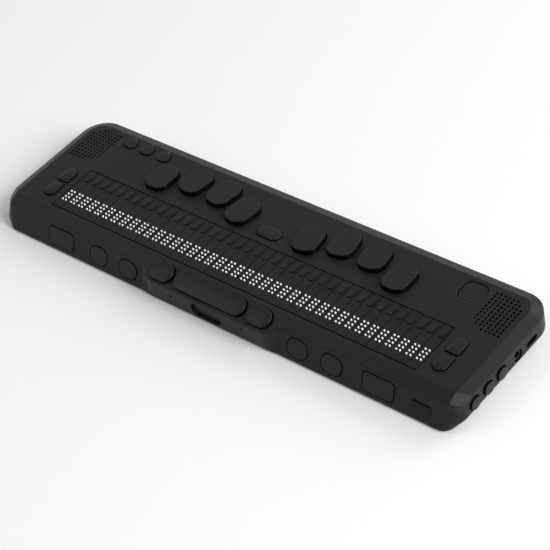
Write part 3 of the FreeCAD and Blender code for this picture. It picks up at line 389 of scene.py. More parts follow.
FACES = {
    "top": face_frame((0, 0, TOP), (1, 0, 0), (0, 0, 1)),
    "bevel": face_frame((0, FACE_FRONT, TOP), (1, 0, 0),
                        (0, -math.sin(BEVEL_ANGLE), math.cos(BEVEL_ANGLE))),
    "wall": face_frame((0, CREASE_FRONT, CREASE), (1, 0, 0),
                       (0, -math.cos(WALL_LEAN), -math.sin(WALL_LEAN))),
    "side": face_frame((HALF_LENGTH, 0, 0), (0, 0, -1), (1, 0, 0)),
    "nose": face_frame((0, NOSE, 0), (1, 0, 0), (0, -1, 0)),
}


CAP_REACH = 2.0  # how far below its face a key is only its cap, with no flange or stem
ENTRY_TURN = 10.5


def key_box(node, face, turn):
    """A key's frame on its face, and its cap's width, depth and rise there."""
    upright = FACES[face] @ Matrix.Rotation(math.radians(turn), 4, "Z")
    inverse = upright.inverted()
    points = [inverse @ (vertex.co / MM) for vertex in frame["nodes"][node].data.vertices]
    points = [point for point in points if point.z > -CAP_REACH]
    low = Vector([min(point[axis] for point in points) for axis in range(3)])
    high = Vector([max(point[axis] for point in points) for axis in range(3)])
    middle = Vector(((low.x + high.x) / 2, (low.y + high.y) / 2, 0))
    return upright @ Matrix.Translation(middle), high.x - low.x, high.y - low.y, high.z


# Keys

KEYS = []


def add_key(node, face, style, front, rear=None, turn=0.0):
    """Notes a key with the radii of its front and rear corners, and its turn in degrees."""
    place, width, depth, rise = key_box(node, face, turn)
    KEYS.append({"node": node, "face": face, "style": style, "place": place, "width": width,
                 "depth": depth, "rise": rise, "front": front,
                 "rear": front if rear is None else rear})


for number in range(1, 9):
    hand = 1 if number in (4, 5, 6, 8) else -1
    add_key(f"dot_{number}_key", "top", "entry", 6.2, turn=hand * ENTRY_TURN * (number < 7))
add_key("space_key", "top", "pillow", 4.0)
for number in range(1, 4):
    add_key(f"function_button_{number}", "top", "button", 3.0)
add_key("power_button", "top", "power", 4.0)
for side in ("left", "right"):
    add_key(f"{side}_scroll_up_key", "top", "pillow", 0.8, 3.9)
    add_key(f"{side}_scroll_down_key", "top", "pillow", 3.9, 0.8)
for node in ("thumb_key_left", "thumb_bar", "thumb_key_right"):
    add_key(node, "bevel", "thumb", 5.0)
for side in ("left", "right"):
    add_key(f"front_key_{side}_inner", "wall", "low", 5.0)
    add_key(f"front_key_{side}_middle", "wall", "low", 5.0)
    add_key(f"front_key_{side}_outer", "wall", "low", 2.0)
for number in range(1, 4):
    add_key(f"side_button_{number}", "side", "side", 3.3)

# Faces whose normal has less than this along the face's own are walls, which are darker: those of key
# caps, and those of the braille line. Their black is partly the plastic's own and partly painted shade
# of the gaps round the keys and cells.
WALL_NORMAL = 0.45
TOP_NORMAL = 0.9

# By style: width and height of a cap's edge, how much higher its middle is, how close to the rim
# that rise begins, the gap round the cap, and the width and depth of the opening's lip
STYLES = {
    "entry": {"edge": (0.3, 0.3), "crown": 0.1, "swell": 2, "gap": 0.3, "lip": (0.15, 0.15)},
    "pillow": {"edge": (0.6, 0.4), "crown": 0.3, "swell": 3, "gap": 0.3, "lip": (0.15, 0.15)},
    "button": {"edge": (0.25, 0.25), "crown": 0.2, "swell": 3, "gap": 0.3, "lip": (0.15, 0.15)},
    "power": {"edge": (0.25, 0.25), "crown": -0.1, "swell": 2, "gap": 0.45, "lip": (0.75, 0.27)},
    "thumb": {"edge": (0.9, 0.6), "crown": 0.45, "swell": 4, "gap": 0.3, "lip": (0.15, 0.15)},
    "low": {"edge": (0.3, 0.25), "crown": 0.05, "swell": 2, "gap": 0.5, "lip": (0.1, 0.1)},
    "side": {"edge": (0.15, 0.15), "crown": 0.1, "swell": 2, "gap": 0.5, "lip": (0.1, 0.1)},
}

CAP_BOTTOM = 1.9
CAP_MIDDLE = 0.05
EDGE_STEPS = 7
CROWN_STEPS = 8
CROWN_SPACING = 1.5  # above 1, so that the rings of the crown lie closer towards the middle


def key_spec(node):
    """What is noted of one key."""
    return next(spec for spec in KEYS if spec["node"] == node)


def key_outline(spec, grow):
    """A key's plan, made larger or smaller all round."""
    return rounded_outline(spec["width"], spec["depth"], spec["front"], spec["rear"], grow)


def key_cap(spec):
    """A cap with rounded edges and a crowned top, from below its face to its rise."""
    style = STYLES[spec["style"]]
    edge, edge_height = style["edge"]
    crown = style["crown"]
    rim = spec["rise"] - max(crown, 0)
    levels = [(0.0, -CAP_BOTTOM), (0.0, rim - edge_height)]
    for step in range(1, EDGE_STEPS + 1):
        angle = math.pi / 2 * step / EDGE_STEPS
        levels.append((edge * (1 - math.cos(angle)), rim - edge_height * (1 - math.sin(angle))))
    reach = min(spec["width"], spec["depth"]) / 2 - CAP_MIDDLE
    for step in range(1, CROWN_STEPS + 1):
        levels.append((blend(edge, reach, (step / CROWN_STEPS) ** CROWN_SPACING), None))

    def dome(x, y):
        across = min(abs(x) / (spec["width"] / 2 - edge), 1) ** style["swell"]
        along = min(abs(y) / (spec["depth"] / 2 - edge), 1) ** style["swell"]
        return rim + crown * (1 - across) * (1 - along)

    loops = []
    for inset, z in levels:
        loops.append([spec["place"] @ Vector((x, y, dome(x, y) if z is None else z))
                      for x, y in key_outline(spec, -inset)])
    cap = loft(spec["node"] + "_cap", loops)
    axis = spec["place"].to_3x3() @ Vector((0, 0, 1))
    # Steep faces take the second finish: black plastic with painted shade of the gap round the key
    for face in cap.data.polygons:
        face.material_index = int(face.normal.dot(axis) < WALL_NORMAL)
    return cap


def opening_tool(spec):
    """What cuts a key's opening, flared at the face into a sloping lip."""
    gap = STYLES[spec["style"]]["gap"]
    lip, lip_depth = STYLES[spec["style"]]["lip"]
    levels = [(gap, -CUT_BELOW), (gap, -lip_depth), (gap + lip * 0.9, -lip_depth * 0.07),
              (gap + lip, 0.0), (gap + lip, CUT_ABOVE)]
    loops = [[spec["place"] @ Vector((x, y, z)) for x, y in key_outline(spec, grow)]
             for grow, z in levels]
    return loft("tool", loops, deep=1)


def prism(place, outline, low, high, deep=0):
    """A solid that keeps one outline from a lower to a higher level of a place."""
    loops = [[place @ Vector((x, y, z)) for x, y in outline] for z in (low, high)]
    return loft("tool", loops, deep)


def block(middle, half, front, rear, low, high, deep=0):
    """A box about the middle of its width."""
    outline = [(middle - half, front), (middle + half, front),
               (middle + half, rear), (middle - half, rear)]
    return prism(Matrix.Identity(4), outline, low, high, deep)


# Materials


def set_inputs(shader, values):
    """Sets plain values on a node's inputs."""
    for name, value in values.items():
        shader.inputs[name].default_value = value


def plastic(name, colour, roughness, grain=0.25, bump=0.12, coat=0.0, spread=0.06, level=0.5):
    """Moulded plastic: a fine grain, slight patches in tone and gloss, and a clear coat if any."""
    material = bpy.data.materials.new(name)
    material.use_nodes = True
    nodes = material.node_tree.nodes
    links = material.node_tree.links
    shader = nodes["Principled BSDF"]
    set_inputs(shader, {"Specular IOR Level": level, "Coat Weight": coat, "Coat Roughness": 0.08})
    place = nodes.new("ShaderNodeTexCoord")
    fine = nodes.new("ShaderNodeTexNoise")
    set_inputs(fine, {"Scale": 1 / (grain * MM), "Detail": 3.0, "Roughness": 0.6})
    broad = nodes.new("ShaderNodeTexNoise")
    set_inputs(broad, {"Scale": 45.0, "Detail": 3.0})
    for texture in (fine, broad):
        links.new(place.outputs["Object"], texture.inputs["Vector"])
    tone = nodes.new("ShaderNodeMix")
    tone.data_type = "RGBA"
    darker = [channel * (1 - spread) for channel in colour] + [1]
    lighter = [channel * (1 + spread) for channel in colour] + [1]
    tone.inputs["A"].default_value = darker
    tone.inputs["B"].default_value = lighter
    links.new(broad.outputs["Fac"], tone.inputs["Factor"])
    links.new(tone.outputs["Result"], shader.inputs["Base Color"])
    gloss = nodes.new("ShaderNodeMapRange")
    set_inputs(gloss, {"From Min": 0.3, "From Max": 0.7,
                       "To Min": roughness - 0.03, "To Max": roughness + 0.04})
    links.new(broad.outputs["Fac"], gloss.inputs["Value"])
    links.new(gloss.outputs["Result"], shader.inputs["Roughness"])
    relief = nodes.new("ShaderNodeBump")
    set_inputs(relief, {"Strength": bump, "Distance": 0.02 * MM})
    links.new(fine.outputs["Fac"], relief.inputs["Height"])
    links.new(relief.outputs["Normal"], shader.inputs["Normal"])
    return material


def metal(name, colour, roughness):
    """Bare metal with a slight grain."""
    material = plastic(name, colour, roughness, grain=0.4, bump=0.05, spread=0.04)
    set_inputs(material.node_tree.nodes["Principled BSDF"], {"Metallic": 1.0})
    return material


MATERIALS = {
    "case": plastic("case_grain", (0.0118, 0.0115, 0.0124), 0.42, grain=0.3, bump=0.3, level=0.2),
    "key_top": plastic("key_satin", (0.0112, 0.0114, 0.0114), 0.38, grain=0.25, bump=0.25, level=0.22),
    # Black plastic with painted shade: key walls, routing key walls and function dots are darkened for
    # the shade in the gaps round them and the shadows they cast
    "black_and_painted_shade": plastic("gloss_black_and_painted_shade", (0.0018, 0.0018, 0.002), 0.22, grain=2.0, bump=0.04, level=0.3),
    "recess": plastic("recess_shade", (0.002, 0.002, 0.0022), 0.6, grain=0.5, bump=0.1, level=0.1),
    "cap": plastic("cap_satin", (0.0098, 0.0101, 0.0098), 0.4, grain=0.25, bump=0.2, level=0.2),
    "routing": plastic("routing_satin", (0.0098, 0.0101, 0.0098), 0.4, grain=0.25, bump=0.2, level=0.2),
    "dot": plastic("dot_white", (0.82, 0.82, 0.8), 0.3, grain=1.0, bump=0.05, coat=0.2),
    "jack": plastic("jack_black", (0.01, 0.01, 0.01), 0.35, grain=0.8, bump=0.06, level=0.3),
    "metal": metal("port_steel", (0.55, 0.55, 0.56), 0.3),
    "rubber": plastic("foot_rubber", (0.012, 0.012, 0.012), 0.75, grain=0.4, bump=0.4),
    "board": plastic("board_mask", (0.015, 0.13, 0.05), 0.35, grain=0.6, bump=0.1),
    "module": plastic("module_plastic", (0.05, 0.05, 0.055), 0.5, grain=0.5),
    "battery": plastic("battery_foil", (0.3, 0.31, 0.33), 0.35, grain=1.2, bump=0.2),
    "speaker": plastic("speaker_paper", (0.01, 0.01, 0.01), 0.6, grain=0.5, bump=0.3),
    "light": plastic("power_light_cap", (0.22, 0.22, 0.23), 0.3, grain=0.5, bump=0.03, coat=0.3),
    "window": plastic("window_clear", (0.03, 0.03, 0.032), 0.15, grain=1.0, bump=0.02, coat=0.5),
}


def dress(piece, *names):
    """Fills a piece's places for finishes, and adds more where it has too few."""
    slots = piece.data.materials
    for index, name in enumerate(names):
        if index < len(slots):
            slots[index] = MATERIALS[name]
        else:
            slots.append(MATERIALS[name])


def keep(piece, finishes, slot, body, *nodes):
    """Shades a piece, gives it its finishes, hides the nodes that it stands for and ties it to what it
    moves with.
    """
    smooth(piece)
    dress(piece, *finishes)
    if nodes:
        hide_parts(*nodes)
    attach(piece, body)


# Shells

# The window, the grilles and the indicator windows in the top face
caps_low, caps_high = box_mm("cell_caps")
windows_low, windows_high = box_mm("indicator_windows")
WINDOW_GAP = 0.45
WINDOW_LIP = 0.06
WINDOW_CORNER = 0.2
FRONT_GAP = 0.3
GRILLE_PITCH = 2.5
GRILLE_RADIUS = 0.75
GRILLE_LIP = 0.12
GRILLE_INNER = 132.9
GRILLE_FRONT = 9.1
GRILLE_ROWS = [(3, 8), (1, 8)] + [(0, 8)] * 7 + [(0, 7), (0, 6)]  # first column, and one past the last
INDICATOR_SIDE = 1.0

# The ports in the right wall
jack_low, jack_high = box_mm("audio_jack")
port_low, port_high = box_mm("usb_c_port")
JACK_PLACE = FACES["side"] @ Matrix.Translation((-(jack_low.z + jack_high.z) / 2,
                                                 (jack_low.y + jack_high.y) / 2, 0))
JACK_BARREL = 3.2
JACK_BORE = 1.8
JACK_DEPTH = 12.5
JACK_BODY = 1.6
JACK_SINK = HALF_LENGTH - jack_high.x
PORT_THICK = 3.2
PORT_WIDTH = port_high.y - port_low.y
PORT_WALL = 0.33
TONGUE_THICK = 0.7
TONGUE_WIDTH = 6.6
TONGUE_SINK = 0.8
PORT_SINK = HALF_LENGTH - port_high.x
PORT_LENGTH = port_high.x - port_low.x
PORT_PLACE = FACES["side"] @ Matrix.Translation((-(port_high.z - PORT_THICK / 2),
                                                 (port_low.y + port_high.y) / 2, 0))

# What is cut into the nose and the front wall
mics_low, mics_high = box_mm("microphones")
socket_low, socket_high = box_mm("card_socket")
MIC_HEIGHT = (mics_low.z + mics_high.z) / 2
MIC_PLACE = mics_high.x - (mics_high.z - mics_low.z) / 2
MIC_RADIUS = 0.7
GRIP_WIDTH = 21.2
GRIP_LOW = 2.2
GRIP_TOP = 11.6
GRIP_TOP_SINK = 1.1
GRIP_FOOT_SINK = 1.8
GRIP_GROOVE = 0.6
GRIP_GROOVE_WIDTH = 0.35
GRIP_BACK_SIDE = 1.5
GRIP_BACK_THICK = 1.2
GRIP_BACK_ABOVE = 0.4
POCKET_PLACE = (socket_low.x + socket_high.x) / 2
POCKET_WIDTH = 12.4
POCKET_DEPTH = 7.0
POCKET_DOWN = 9.5
POCKET_TOP_SINK = 0.7
POCKET_FOOT_SINK = 0.35
POCKET_FLARE = 0.35
POCKET_CORNER = 1.5
CARD_WIDTH = 11.2
CARD_THICK = 1.1
CARD_WALL = 0.35

# Pairs of radius or growth and height over the face, for holes
HOLE_END = -WALL - 1
JACK_HOLE = [(JACK_BARREL + 0.3, HOLE_END), (JACK_BARREL + 0.3, -0.2), (JACK_BARREL + 0.36, -0.06),
             (JACK_BARREL + 0.5, 0.0), (JACK_BARREL + 0.5, CUT_ABOVE)]
PORT_HOLE = [(0.05, HOLE_END), (0.05, -0.25), (0.12, -0.08), (0.3, 0.0), (0.3, CUT_ABOVE)]
MIC_HOLE = [(MIC_RADIUS, HOLE_END), (MIC_RADIUS, -0.1), (MIC_RADIUS + 0.1, 0.0),
            (MIC_RADIUS + 0.1, CUT_ABOVE)]
GRILLE_HOLE = [(GRILLE_RADIUS, -CUT_BELOW), (GRILLE_RADIUS, -GRILLE_LIP),
               (GRILLE_RADIUS + GRILLE_LIP, 0.0), (GRILLE_RADIUS + GRILLE_LIP, CUT_ABOVE)]


def lathe_loops(place, profile, steps):
    """Rings about a place's Z axis through pairs of radius and height."""
    turns = [360 / steps * step for step in range(steps)]
    return [[place @ Vector((radius * math.cos(math.radians(turn)),
                             radius * math.sin(math.radians(turn)), z))
             for turn in turns] for radius, z in profile]


def stadium_loops(place, width, depth, profile):
    """Rings with full round ends through pairs of growth and height."""
    radius = min(width, depth) / 2 - 0.01
    return [[place @ Vector((x, y, z))
             for x, y in rounded_outline(width, depth, radius, radius, grow)] for grow, z in profile]


def build_cover():
    """The lid: top face, bevels and the edge that stands on the walls."""
    cover = body_form("top_cover_shell")
    inner = bevel_form("inner", WALL)
    combine(cover, inner, "DIFFERENCE")
    skirt = bevel_form("skirt", COVER_EDGE)
    combine(skirt, wall_form("walls", WALL + SKIRT_GAP), "DIFFERENCE")
    combine(cover, skirt, "DIFFERENCE")
    tools = [opening_tool(spec) for spec in KEYS if spec["face"] in ("top", "bevel")]
    tools.append(window_tool())
    tools += grille_tools()
    tools += indicator_tools()
    combine(cover, join("tools", tools), "DIFFERENCE")
    return cover


def window_tool():
    """The braille line's opening, with more room at the front."""
    middle = (caps_low + caps_high) / 2
    place = FACES["top"] @ Matrix.Translation((middle.x, middle.y - FRONT_GAP / 2, 0))
    width = caps_high.x - caps_low.x
    depth = caps_high.y - caps_low.y + FRONT_GAP
    wide = WINDOW_GAP + WINDOW_LIP
    levels = [(WINDOW_GAP, -CUT_BELOW), (WINDOW_GAP, -WINDOW_LIP), (wide, 0.0), (wide, CUT_ABOVE)]
    loops = []
    for grow, z in levels:
        outline = rounded_outline(width, depth, WINDOW_CORNER, WINDOW_CORNER, grow, 2)
        loops.append([place @ Vector((x, y, z)) for x, y in outline])
    return loft("tool", loops, deep=1)


def grille_tools():
    """The holes over both speakers."""
    tools = []
    for hand in (-1, 1):
        for row, (first, last) in enumerate(GRILLE_ROWS):
            for column in range(first, last):
                x = hand * (GRILLE_INNER + column * GRILLE_PITCH)
                y = GRILLE_FRONT + row * GRILLE_PITCH
                place = FACES["top"] @ Matrix.Translation((x, y, 0))
                tools.append(loft("tool", lathe_loops(place, GRILLE_HOLE, 12), deep=1))
    return tools


def indicator_tools():
    """Openings for the three indicator windows."""
    tools = []
    middle = (windows_low.x + windows_high.x) / 2
    step = (windows_high.x - windows_low.x - INDICATOR_SIDE) / 2
    outline = rounded_outline(INDICATOR_SIDE, INDICATOR_SIDE, 0.02, 0.02, 0.05, 2)
    for index in (-1, 0, 1):
        place = FACES["top"] @ Matrix.Translation((middle + index * step,
                                                   windows_high.y - INDICATOR_SIDE / 2, 0))
        tools.append(prism(place, outline, -CUT_BELOW, CUT_ABOVE))
    return tools


def grip_tool():
    """A long recess whose floor slants in to a ledge at its foot, with a narrow groove round it."""
    height = GRIP_TOP - GRIP_LOW
    place = FACES["nose"] @ Matrix.Translation((0, (GRIP_TOP + GRIP_LOW) / 2, 0))

    def floor(y):
        return -blend(GRIP_FOOT_SINK, GRIP_TOP_SINK, y / height + 0.5)

    def groove(y):
        return floor(y) - GRIP_GROOVE * (0.5 - y / height)

    rings = [(0.25, CUT_ABOVE), (0.25, 0.0), (0.08, -0.03), (0.0, -0.12), (0.0, groove),
             (-GRIP_GROOVE_WIDTH, groove), (-GRIP_GROOVE_WIDTH, floor)]
    radius = height / 2 - 0.05
    loops = []
    for grow, level in rings:
        outline = rounded_outline(GRIP_WIDTH, height, radius, radius, grow, 12)
        loops.append([place @ Vector((x, y, level(y) if callable(level) else level))
                      for x, y in outline])
    return loft("tool", loops)


def pocket_tools():
    """A recess whose floor runs in to the card slot at its top, and the slot."""
    place = FACES["wall"] @ Matrix.Translation((POCKET_PLACE, -POCKET_DOWN, 0))

    def floor(y):
        return -blend(POCKET_FOOT_SINK, POCKET_TOP_SINK, y / POCKET_DEPTH + 0.5)

    loops = []
    for grow, level in ((POCKET_FLARE, 0.5), (POCKET_FLARE, 0.12), (0.0, -0.15), (-0.25, floor)):
        outline = rounded_outline(POCKET_WIDTH, POCKET_DEPTH, POCKET_CORNER, POCKET_CORNER, grow, 5)
        loops.append([place @ Vector((x, y, level(y) if callable(level) else level))
                      for x, y in outline])
    low = socket_low.z + CARD_WALL
    slot = block(POCKET_PLACE, CARD_WIDTH / 2, NOSE, socket_low.y, low, low + CARD_THICK, deep=1)
    return loft("tool", loops), slot


def build_case():
    """The tray with its slanted front walls and the openings in them."""
    case = body_form("bottom_case_shell")
    combine(case, bevel_form("lowered", COVER_EDGE + PARTING_GAP), "INTERSECT")
    cavity = wall_form("cavity", WALL, FLOOR)
    combine(cavity, block(0, GRIP_WIDTH / 2 + GRIP_BACK_SIDE, NOSE, NOSE + WALL + GRIP_BACK_THICK,
                          FOOT, GRIP_TOP + GRIP_BACK_ABOVE), "DIFFERENCE")
    combine(case, cavity, "DIFFERENCE")
    tools = [opening_tool(spec) for spec in KEYS if spec["face"] in ("wall", "side", "bevel")]
    pocket, slot = pocket_tools()
    tools += [pocket, grip_tool()]
    tools.append(loft("tool", lathe_loops(JACK_PLACE, JACK_HOLE, 40), deep=1))
    tools.append(loft("tool", stadium_loops(PORT_PLACE, PORT_THICK, PORT_WIDTH, PORT_HOLE), deep=1))
    for hand in (-1, 1):
        place = FACES["nose"] @ Matrix.Translation((hand * MIC_PLACE, MIC_HEIGHT, 0))
        tools.append(loft("tool", lathe_loops(place, MIC_HOLE, 16), deep=1))
    combine(case, slot, "DIFFERENCE")
    combine(case, join("tools", tools), "DIFFERENCE")
    return case


# Braille line

CELLS = 40
CELL_PITCH = 6.4
DOT_PITCH = 2.4
DOT_RADIUS = 0.56
DOT_DOME = 0.52
HOLE_RADIUS = 0.84
HOLE_POINTS = 16
DOME_STEPS = 5
CAP_DEPTH = 1.6
CAP_EDGE = 0.05
FRONT_SEAM = 0.18
REAR_SEAM = 0.4
KEYS_IN_GROUP = 5
ROUTING_FRONT = 1.4
ROUTING_REAR = 0.2
ROUTING_LIFT = 0.5
ROUTING_SEAM = 0.12
ROUTING_SHIFT = 0.1
ROUTING_SINK = 0.02
ROUTING_LEVEL = -0.4  # a key's walls are level below this and follow its lift above it
MARK_RADIUS = 0.42
MARK_RISE = 0.26
MARK_SHIFT = 0.5
pins_low, pins_high = box_mm("braille_pins")
first_low, first_high = box_mm("routing_keys_1")
ROUTING_WIDTH = first_high.x - first_low.x - (KEYS_IN_GROUP - 1) * CELL_PITCH
ROUTING_DEPTH = first_high.y - first_low.y
ROUTING_ROW = (first_low.y + first_high.y) / 2
DOT_ROW = (pins_low.y + pins_high.y) / 2


def cell_start(index):
    """The left end of a cell."""
    return (caps_low.x + caps_high.x - CELLS * CELL_PITCH) / 2 + index * CELL_PITCH


def dot_middle(index):
    """The middle of a cell's dots and of its routing key."""
    return (pins_low.x + pins_high.x - (CELLS - 1) * CELL_PITCH) / 2 + index * CELL_PITCH


def dot_places(index):
    """The middles of a cell's eight dots."""
    for column in (-0.5, 0.5):
        for row in (-1.5, -0.5, 0.5, 1.5):
            yield dot_middle(index) + column * DOT_PITCH, DOT_ROW + row * DOT_PITCH


def routing_outline(index, grow):
    """A routing key's plan, round at its front end."""
    outline = rounded_outline(ROUTING_WIDTH, ROUTING_DEPTH, ROUTING_FRONT, ROUTING_REAR, grow, 6)
    return [(x + dot_middle(index), y + ROUTING_ROW) for x, y in outline]


def surrounds(loop, point):
    """Whether a loop runs round a point."""
    inside = False
    for (x, y), (after_x, after_y) in zip(loop, loop[1:] + loop[:1]):
        if (y > point[1]) != (after_y > point[1]):
            crossing = x + (after_x - x) * (point[1] - y) / (after_y - y)
            inside ^= point[0] < crossing
    return inside


def plate(name, rims, top, depth, edge):
    """A plate with holes from pairs of loops, at its top face and at its walls."""
    points = [Vector(point) for face_loop, wall_loop in rims for point in face_loop]
    edges = []
    start = 0
    for face_loop, wall_loop in rims:
        count = len(face_loop)
        edges += [(start + index, start + (index + 1) % count) for index in range(count)]
        start += count
    flat, ignored, triangles, *rest = delaunay_2d_cdt(points, edges, [], 1, 0.0001)
    whole = [(x, y, top) for x, y in flat]
    polygons = []
    for triangle in triangles:
        middle = (flat[triangle[0]] + flat[triangle[1]] + flat[triangle[2]]) / 3
        if not any(surrounds(face_loop, middle) for face_loop, wall_loop in rims[1:]):
            polygons.append(tuple(triangle))
    for face_loop, wall_loop in rims:
        count = len(face_loop)
        start = len(whole)
        whole += [(x, y, top) for x, y in face_loop]
        whole += [(x, y, top - edge) for x, y in wall_loop]
        whole += [(x, y, top - depth) for x, y in wall_loop]
        for row in (0, 1):
            for index in range(count):
                after = (index + 1) % count
                polygons.append((start + row * count + index, start + (row + 1) * count + index,
                                 start + (row + 1) * count + after, start + row * count + after))
    piece = make_mesh(name, whole, polygons)
    # Slanted and upright faces take the second finish: painted shade in the seams between caps and in
    # the dot holes
    for face in piece.data.polygons:
        face.material_index = int(abs(face.normal.z) < TOP_NORMAL)
    shell = bmesh.new()
    shell.from_mesh(piece.data)
    bmesh.ops.remove_doubles(shell, verts=shell.verts, dist=0.001 * MM)
    bmesh.ops.recalc_face_normals(shell, faces=shell.faces)
    highest = max(shell.faces, key=lambda face: face.calc_center_median().z)
    if highest.normal.z < 0:
        bmesh.ops.reverse_faces(shell, faces=shell.faces)
    shell.to_mesh(piece.data)
    shell.free()
    return piece


def cap_outline(index, inset):
    """A cap's plan, whose seams to its neighbours open towards the rear."""
    low = cell_start(index)
    high = low + CELL_PITCH
    front = FRONT_SEAM / 2 + inset
    rear = REAR_SEAM / 2 + inset
    return [(low + front, caps_low.y + inset), (high - front, caps_low.y + inset),
            (high - rear, caps_high.y - inset), (low + rear, caps_high.y - inset)]


def hole_ring(x, y, radius):
    return arc(x, y, radius, 0, 360 - 360 / HOLE_POINTS, HOLE_POINTS - 1)


def build_caps():
    """The cells' caps, each with eight round holes and the opening of its routing key."""
    caps = []
    for index in range(CELLS):
        rims = [(cap_outline(index, CAP_EDGE), cap_outline(index, 0.0))]
        for x, y in dot_places(index):
            rims.append((hole_ring(x, y, HOLE_RADIUS + CAP_EDGE), hole_ring(x, y, HOLE_RADIUS)))
        opening = [(x + ROUTING_SHIFT, y - ROUTING_SHIFT)
                   for x, y in routing_outline(index, ROUTING_SEAM)]
        rims.append((opening, opening))
        caps.append(plate("cap", rims, caps_high.z, CAP_DEPTH, CAP_EDGE))
    return join("cell_caps_plates", caps)


def dome_profile(radius, height, foot=0.2):
    """Pairs of radius and height for a dome on a short foot."""
    profile = [(radius, -foot), (radius, 0.0)]
    for step in range(1, DOME_STEPS + 1):
        turn = math.radians(90 * step / DOME_STEPS)
        profile.append((max(radius * math.cos(turn), 0.02), height * math.sin(turn)))
    return profile


def build_pins():
    """Braille dots with domed tips."""
    pins = []
    shoulder = pins_high.z - DOT_DOME
    profile = dome_profile(DOT_RADIUS, DOT_DOME, shoulder - pins_low.z)
    for index in range(CELLS):
        for x, y in dot_places(index):
            place = Matrix.Translation((x, y, shoulder))
            pins.append(loft("pin", lathe_loops(place, profile, 14)))
    return join("braille_dots", pins)


def routing_lift(ahead):
    """How far a routing key stands up at a distance ahead of its rear end."""
    return ROUTING_LIFT * (1 - (1 - ahead / ROUTING_DEPTH) ** 2)


def routing_key(index):
    """A key that rises from its flush rear end to a rounded front end."""
    rear = ROUTING_ROW + ROUTING_DEPTH / 2
    levels = [(0.0, -CAP_DEPTH), (0.0, -0.5), (0.0, -0.08), (0.03, -0.03), (0.1, 0.0)]
    loops = []
    for inset, level in levels:
        loop = []
        for x, y in routing_outline(index, -inset):
            lift = 0.0 if level < ROUTING_LEVEL else routing_lift(rear - y)
            loop.append((x, y, caps_high.z - ROUTING_SINK + level + lift))
        loops.append(loop)
    key = loft("key", loops)
    # The walls and rounded rim take the second finish: painted shade of the dark line round each key's
    # sides and front
    for face in key.data.polygons:
        face.material_index = int(face.normal.z < TOP_NORMAL)
    return key


def routing_dot(index):
    """A small raised dot that marks every fifth routing key."""
    z = caps_high.z - ROUTING_SINK + routing_lift(ROUTING_DEPTH / 2 - MARK_SHIFT)
    place = Matrix.Translation((dot_middle(index), ROUTING_ROW + MARK_SHIFT, z))
    return loft("dot", lathe_loops(place, dome_profile(MARK_RADIUS, MARK_RISE), 14))


def build_routing_keys():
    """The routing keys, in groups that each stand for one node."""
    for group in range(CELLS // KEYS_IN_GROUP):
        first = group * KEYS_IN_GROUP
        pieces = [routing_key(index) for index in range(first, first + KEYS_IN_GROUP)]
        pieces.append(routing_dot(first + KEYS_IN_GROUP - 1))
        node = f"routing_keys_{group + 1}"
        whole = join(node + "_caps", pieces)
        keep(whole, ["routing", "black_and_painted_shade"], "routing", f"routing_group_{group + 1}", node)


# Ports and small parts


def build_jack():
    """A barrel with stepped rings round its bore, and the block behind it."""
    rings = [(JACK_BARREL, -6.0), (JACK_BARREL, -0.25), (JACK_BARREL - 0.08, -0.08),
             (JACK_BARREL - 0.25, 0.0), (2.75, 0.0), (2.68, -0.22), (2.42, -0.22), (2.35, 0.0),
             (2.12, 0.0), (1.92, -0.1), (JACK_BORE, -0.35), (JACK_BORE, -JACK_DEPTH)]
    place = JACK_PLACE @ Matrix.Translation((0, 0, -JACK_SINK))
    barrel = loft("jack", lathe_loops(place, rings, 48))
    inverse = place.inverted()
    # Faces deep in the bore take the second finish: painted shade of the hole
    for face in barrel.data.polygons:
        middle = inverse @ (face.center / MM)
        face.material_index = int(middle.z < -0.3 and math.hypot(middle.x, middle.y) < JACK_BORE + 0.05)
    half = (jack_high.z - jack_low.z) / 2
    body = prism(place, [(-half, -half), (half, -half), (half, half), (-half, half)],
                 jack_low.x - jack_high.x, -JACK_BODY)
    return join("audio_jack_barrel", [barrel, body])


def build_port():
    """A drawn steel shell with a plastic tongue."""
    outer = [(0.0, -PORT_LENGTH), (0.0, -0.12), (-0.04, -0.03), (-0.12, 0.0), (-PORT_WALL + 0.1, 0.0),
             (-PORT_WALL, -0.1), (-PORT_WALL, 0.5 - PORT_LENGTH)]
    place = PORT_PLACE @ Matrix.Translation((0, 0, -PORT_SINK))
    shell = loft("shell", stadium_loops(place, PORT_THICK, PORT_WIDTH, outer))
    tongue = prism(place, rounded_outline(TONGUE_THICK, TONGUE_WIDTH, 0.2, 0.2), 0.3 - PORT_LENGTH,
                   -TONGUE_SINK)
    for face in tongue.data.polygons:
        face.material_index = 1
    return join("usb_c_port_shell", [shell, tongue])


LIGHT_PLACE = (0.9, -3.7)
LIGHT_SIZE = (2.0, 0.5)
LIGHT_SINK = 0.13
BUTTON_DOT_PITCH = 2.0
BUTTON_DOT_SHIFT = 0.6
BUTTON_DOT_RADIUS = 0.6
BUTTON_DOT_RISE = 0.45
BUTTON_DOT_SINK = 0.06


def build_power_light():
    """A small pale bar in the power button, near its front edge."""
    spec = key_spec("power_button")
    top = spec["rise"] - LIGHT_SINK
    place = spec["place"] @ Matrix.Translation((*LIGHT_PLACE, top))
    profile = [(0.0, -0.3), (0.0, 0.03), (-0.06, 0.07)]
    return loft("power_light", stadium_loops(place, *LIGHT_SIZE, profile))


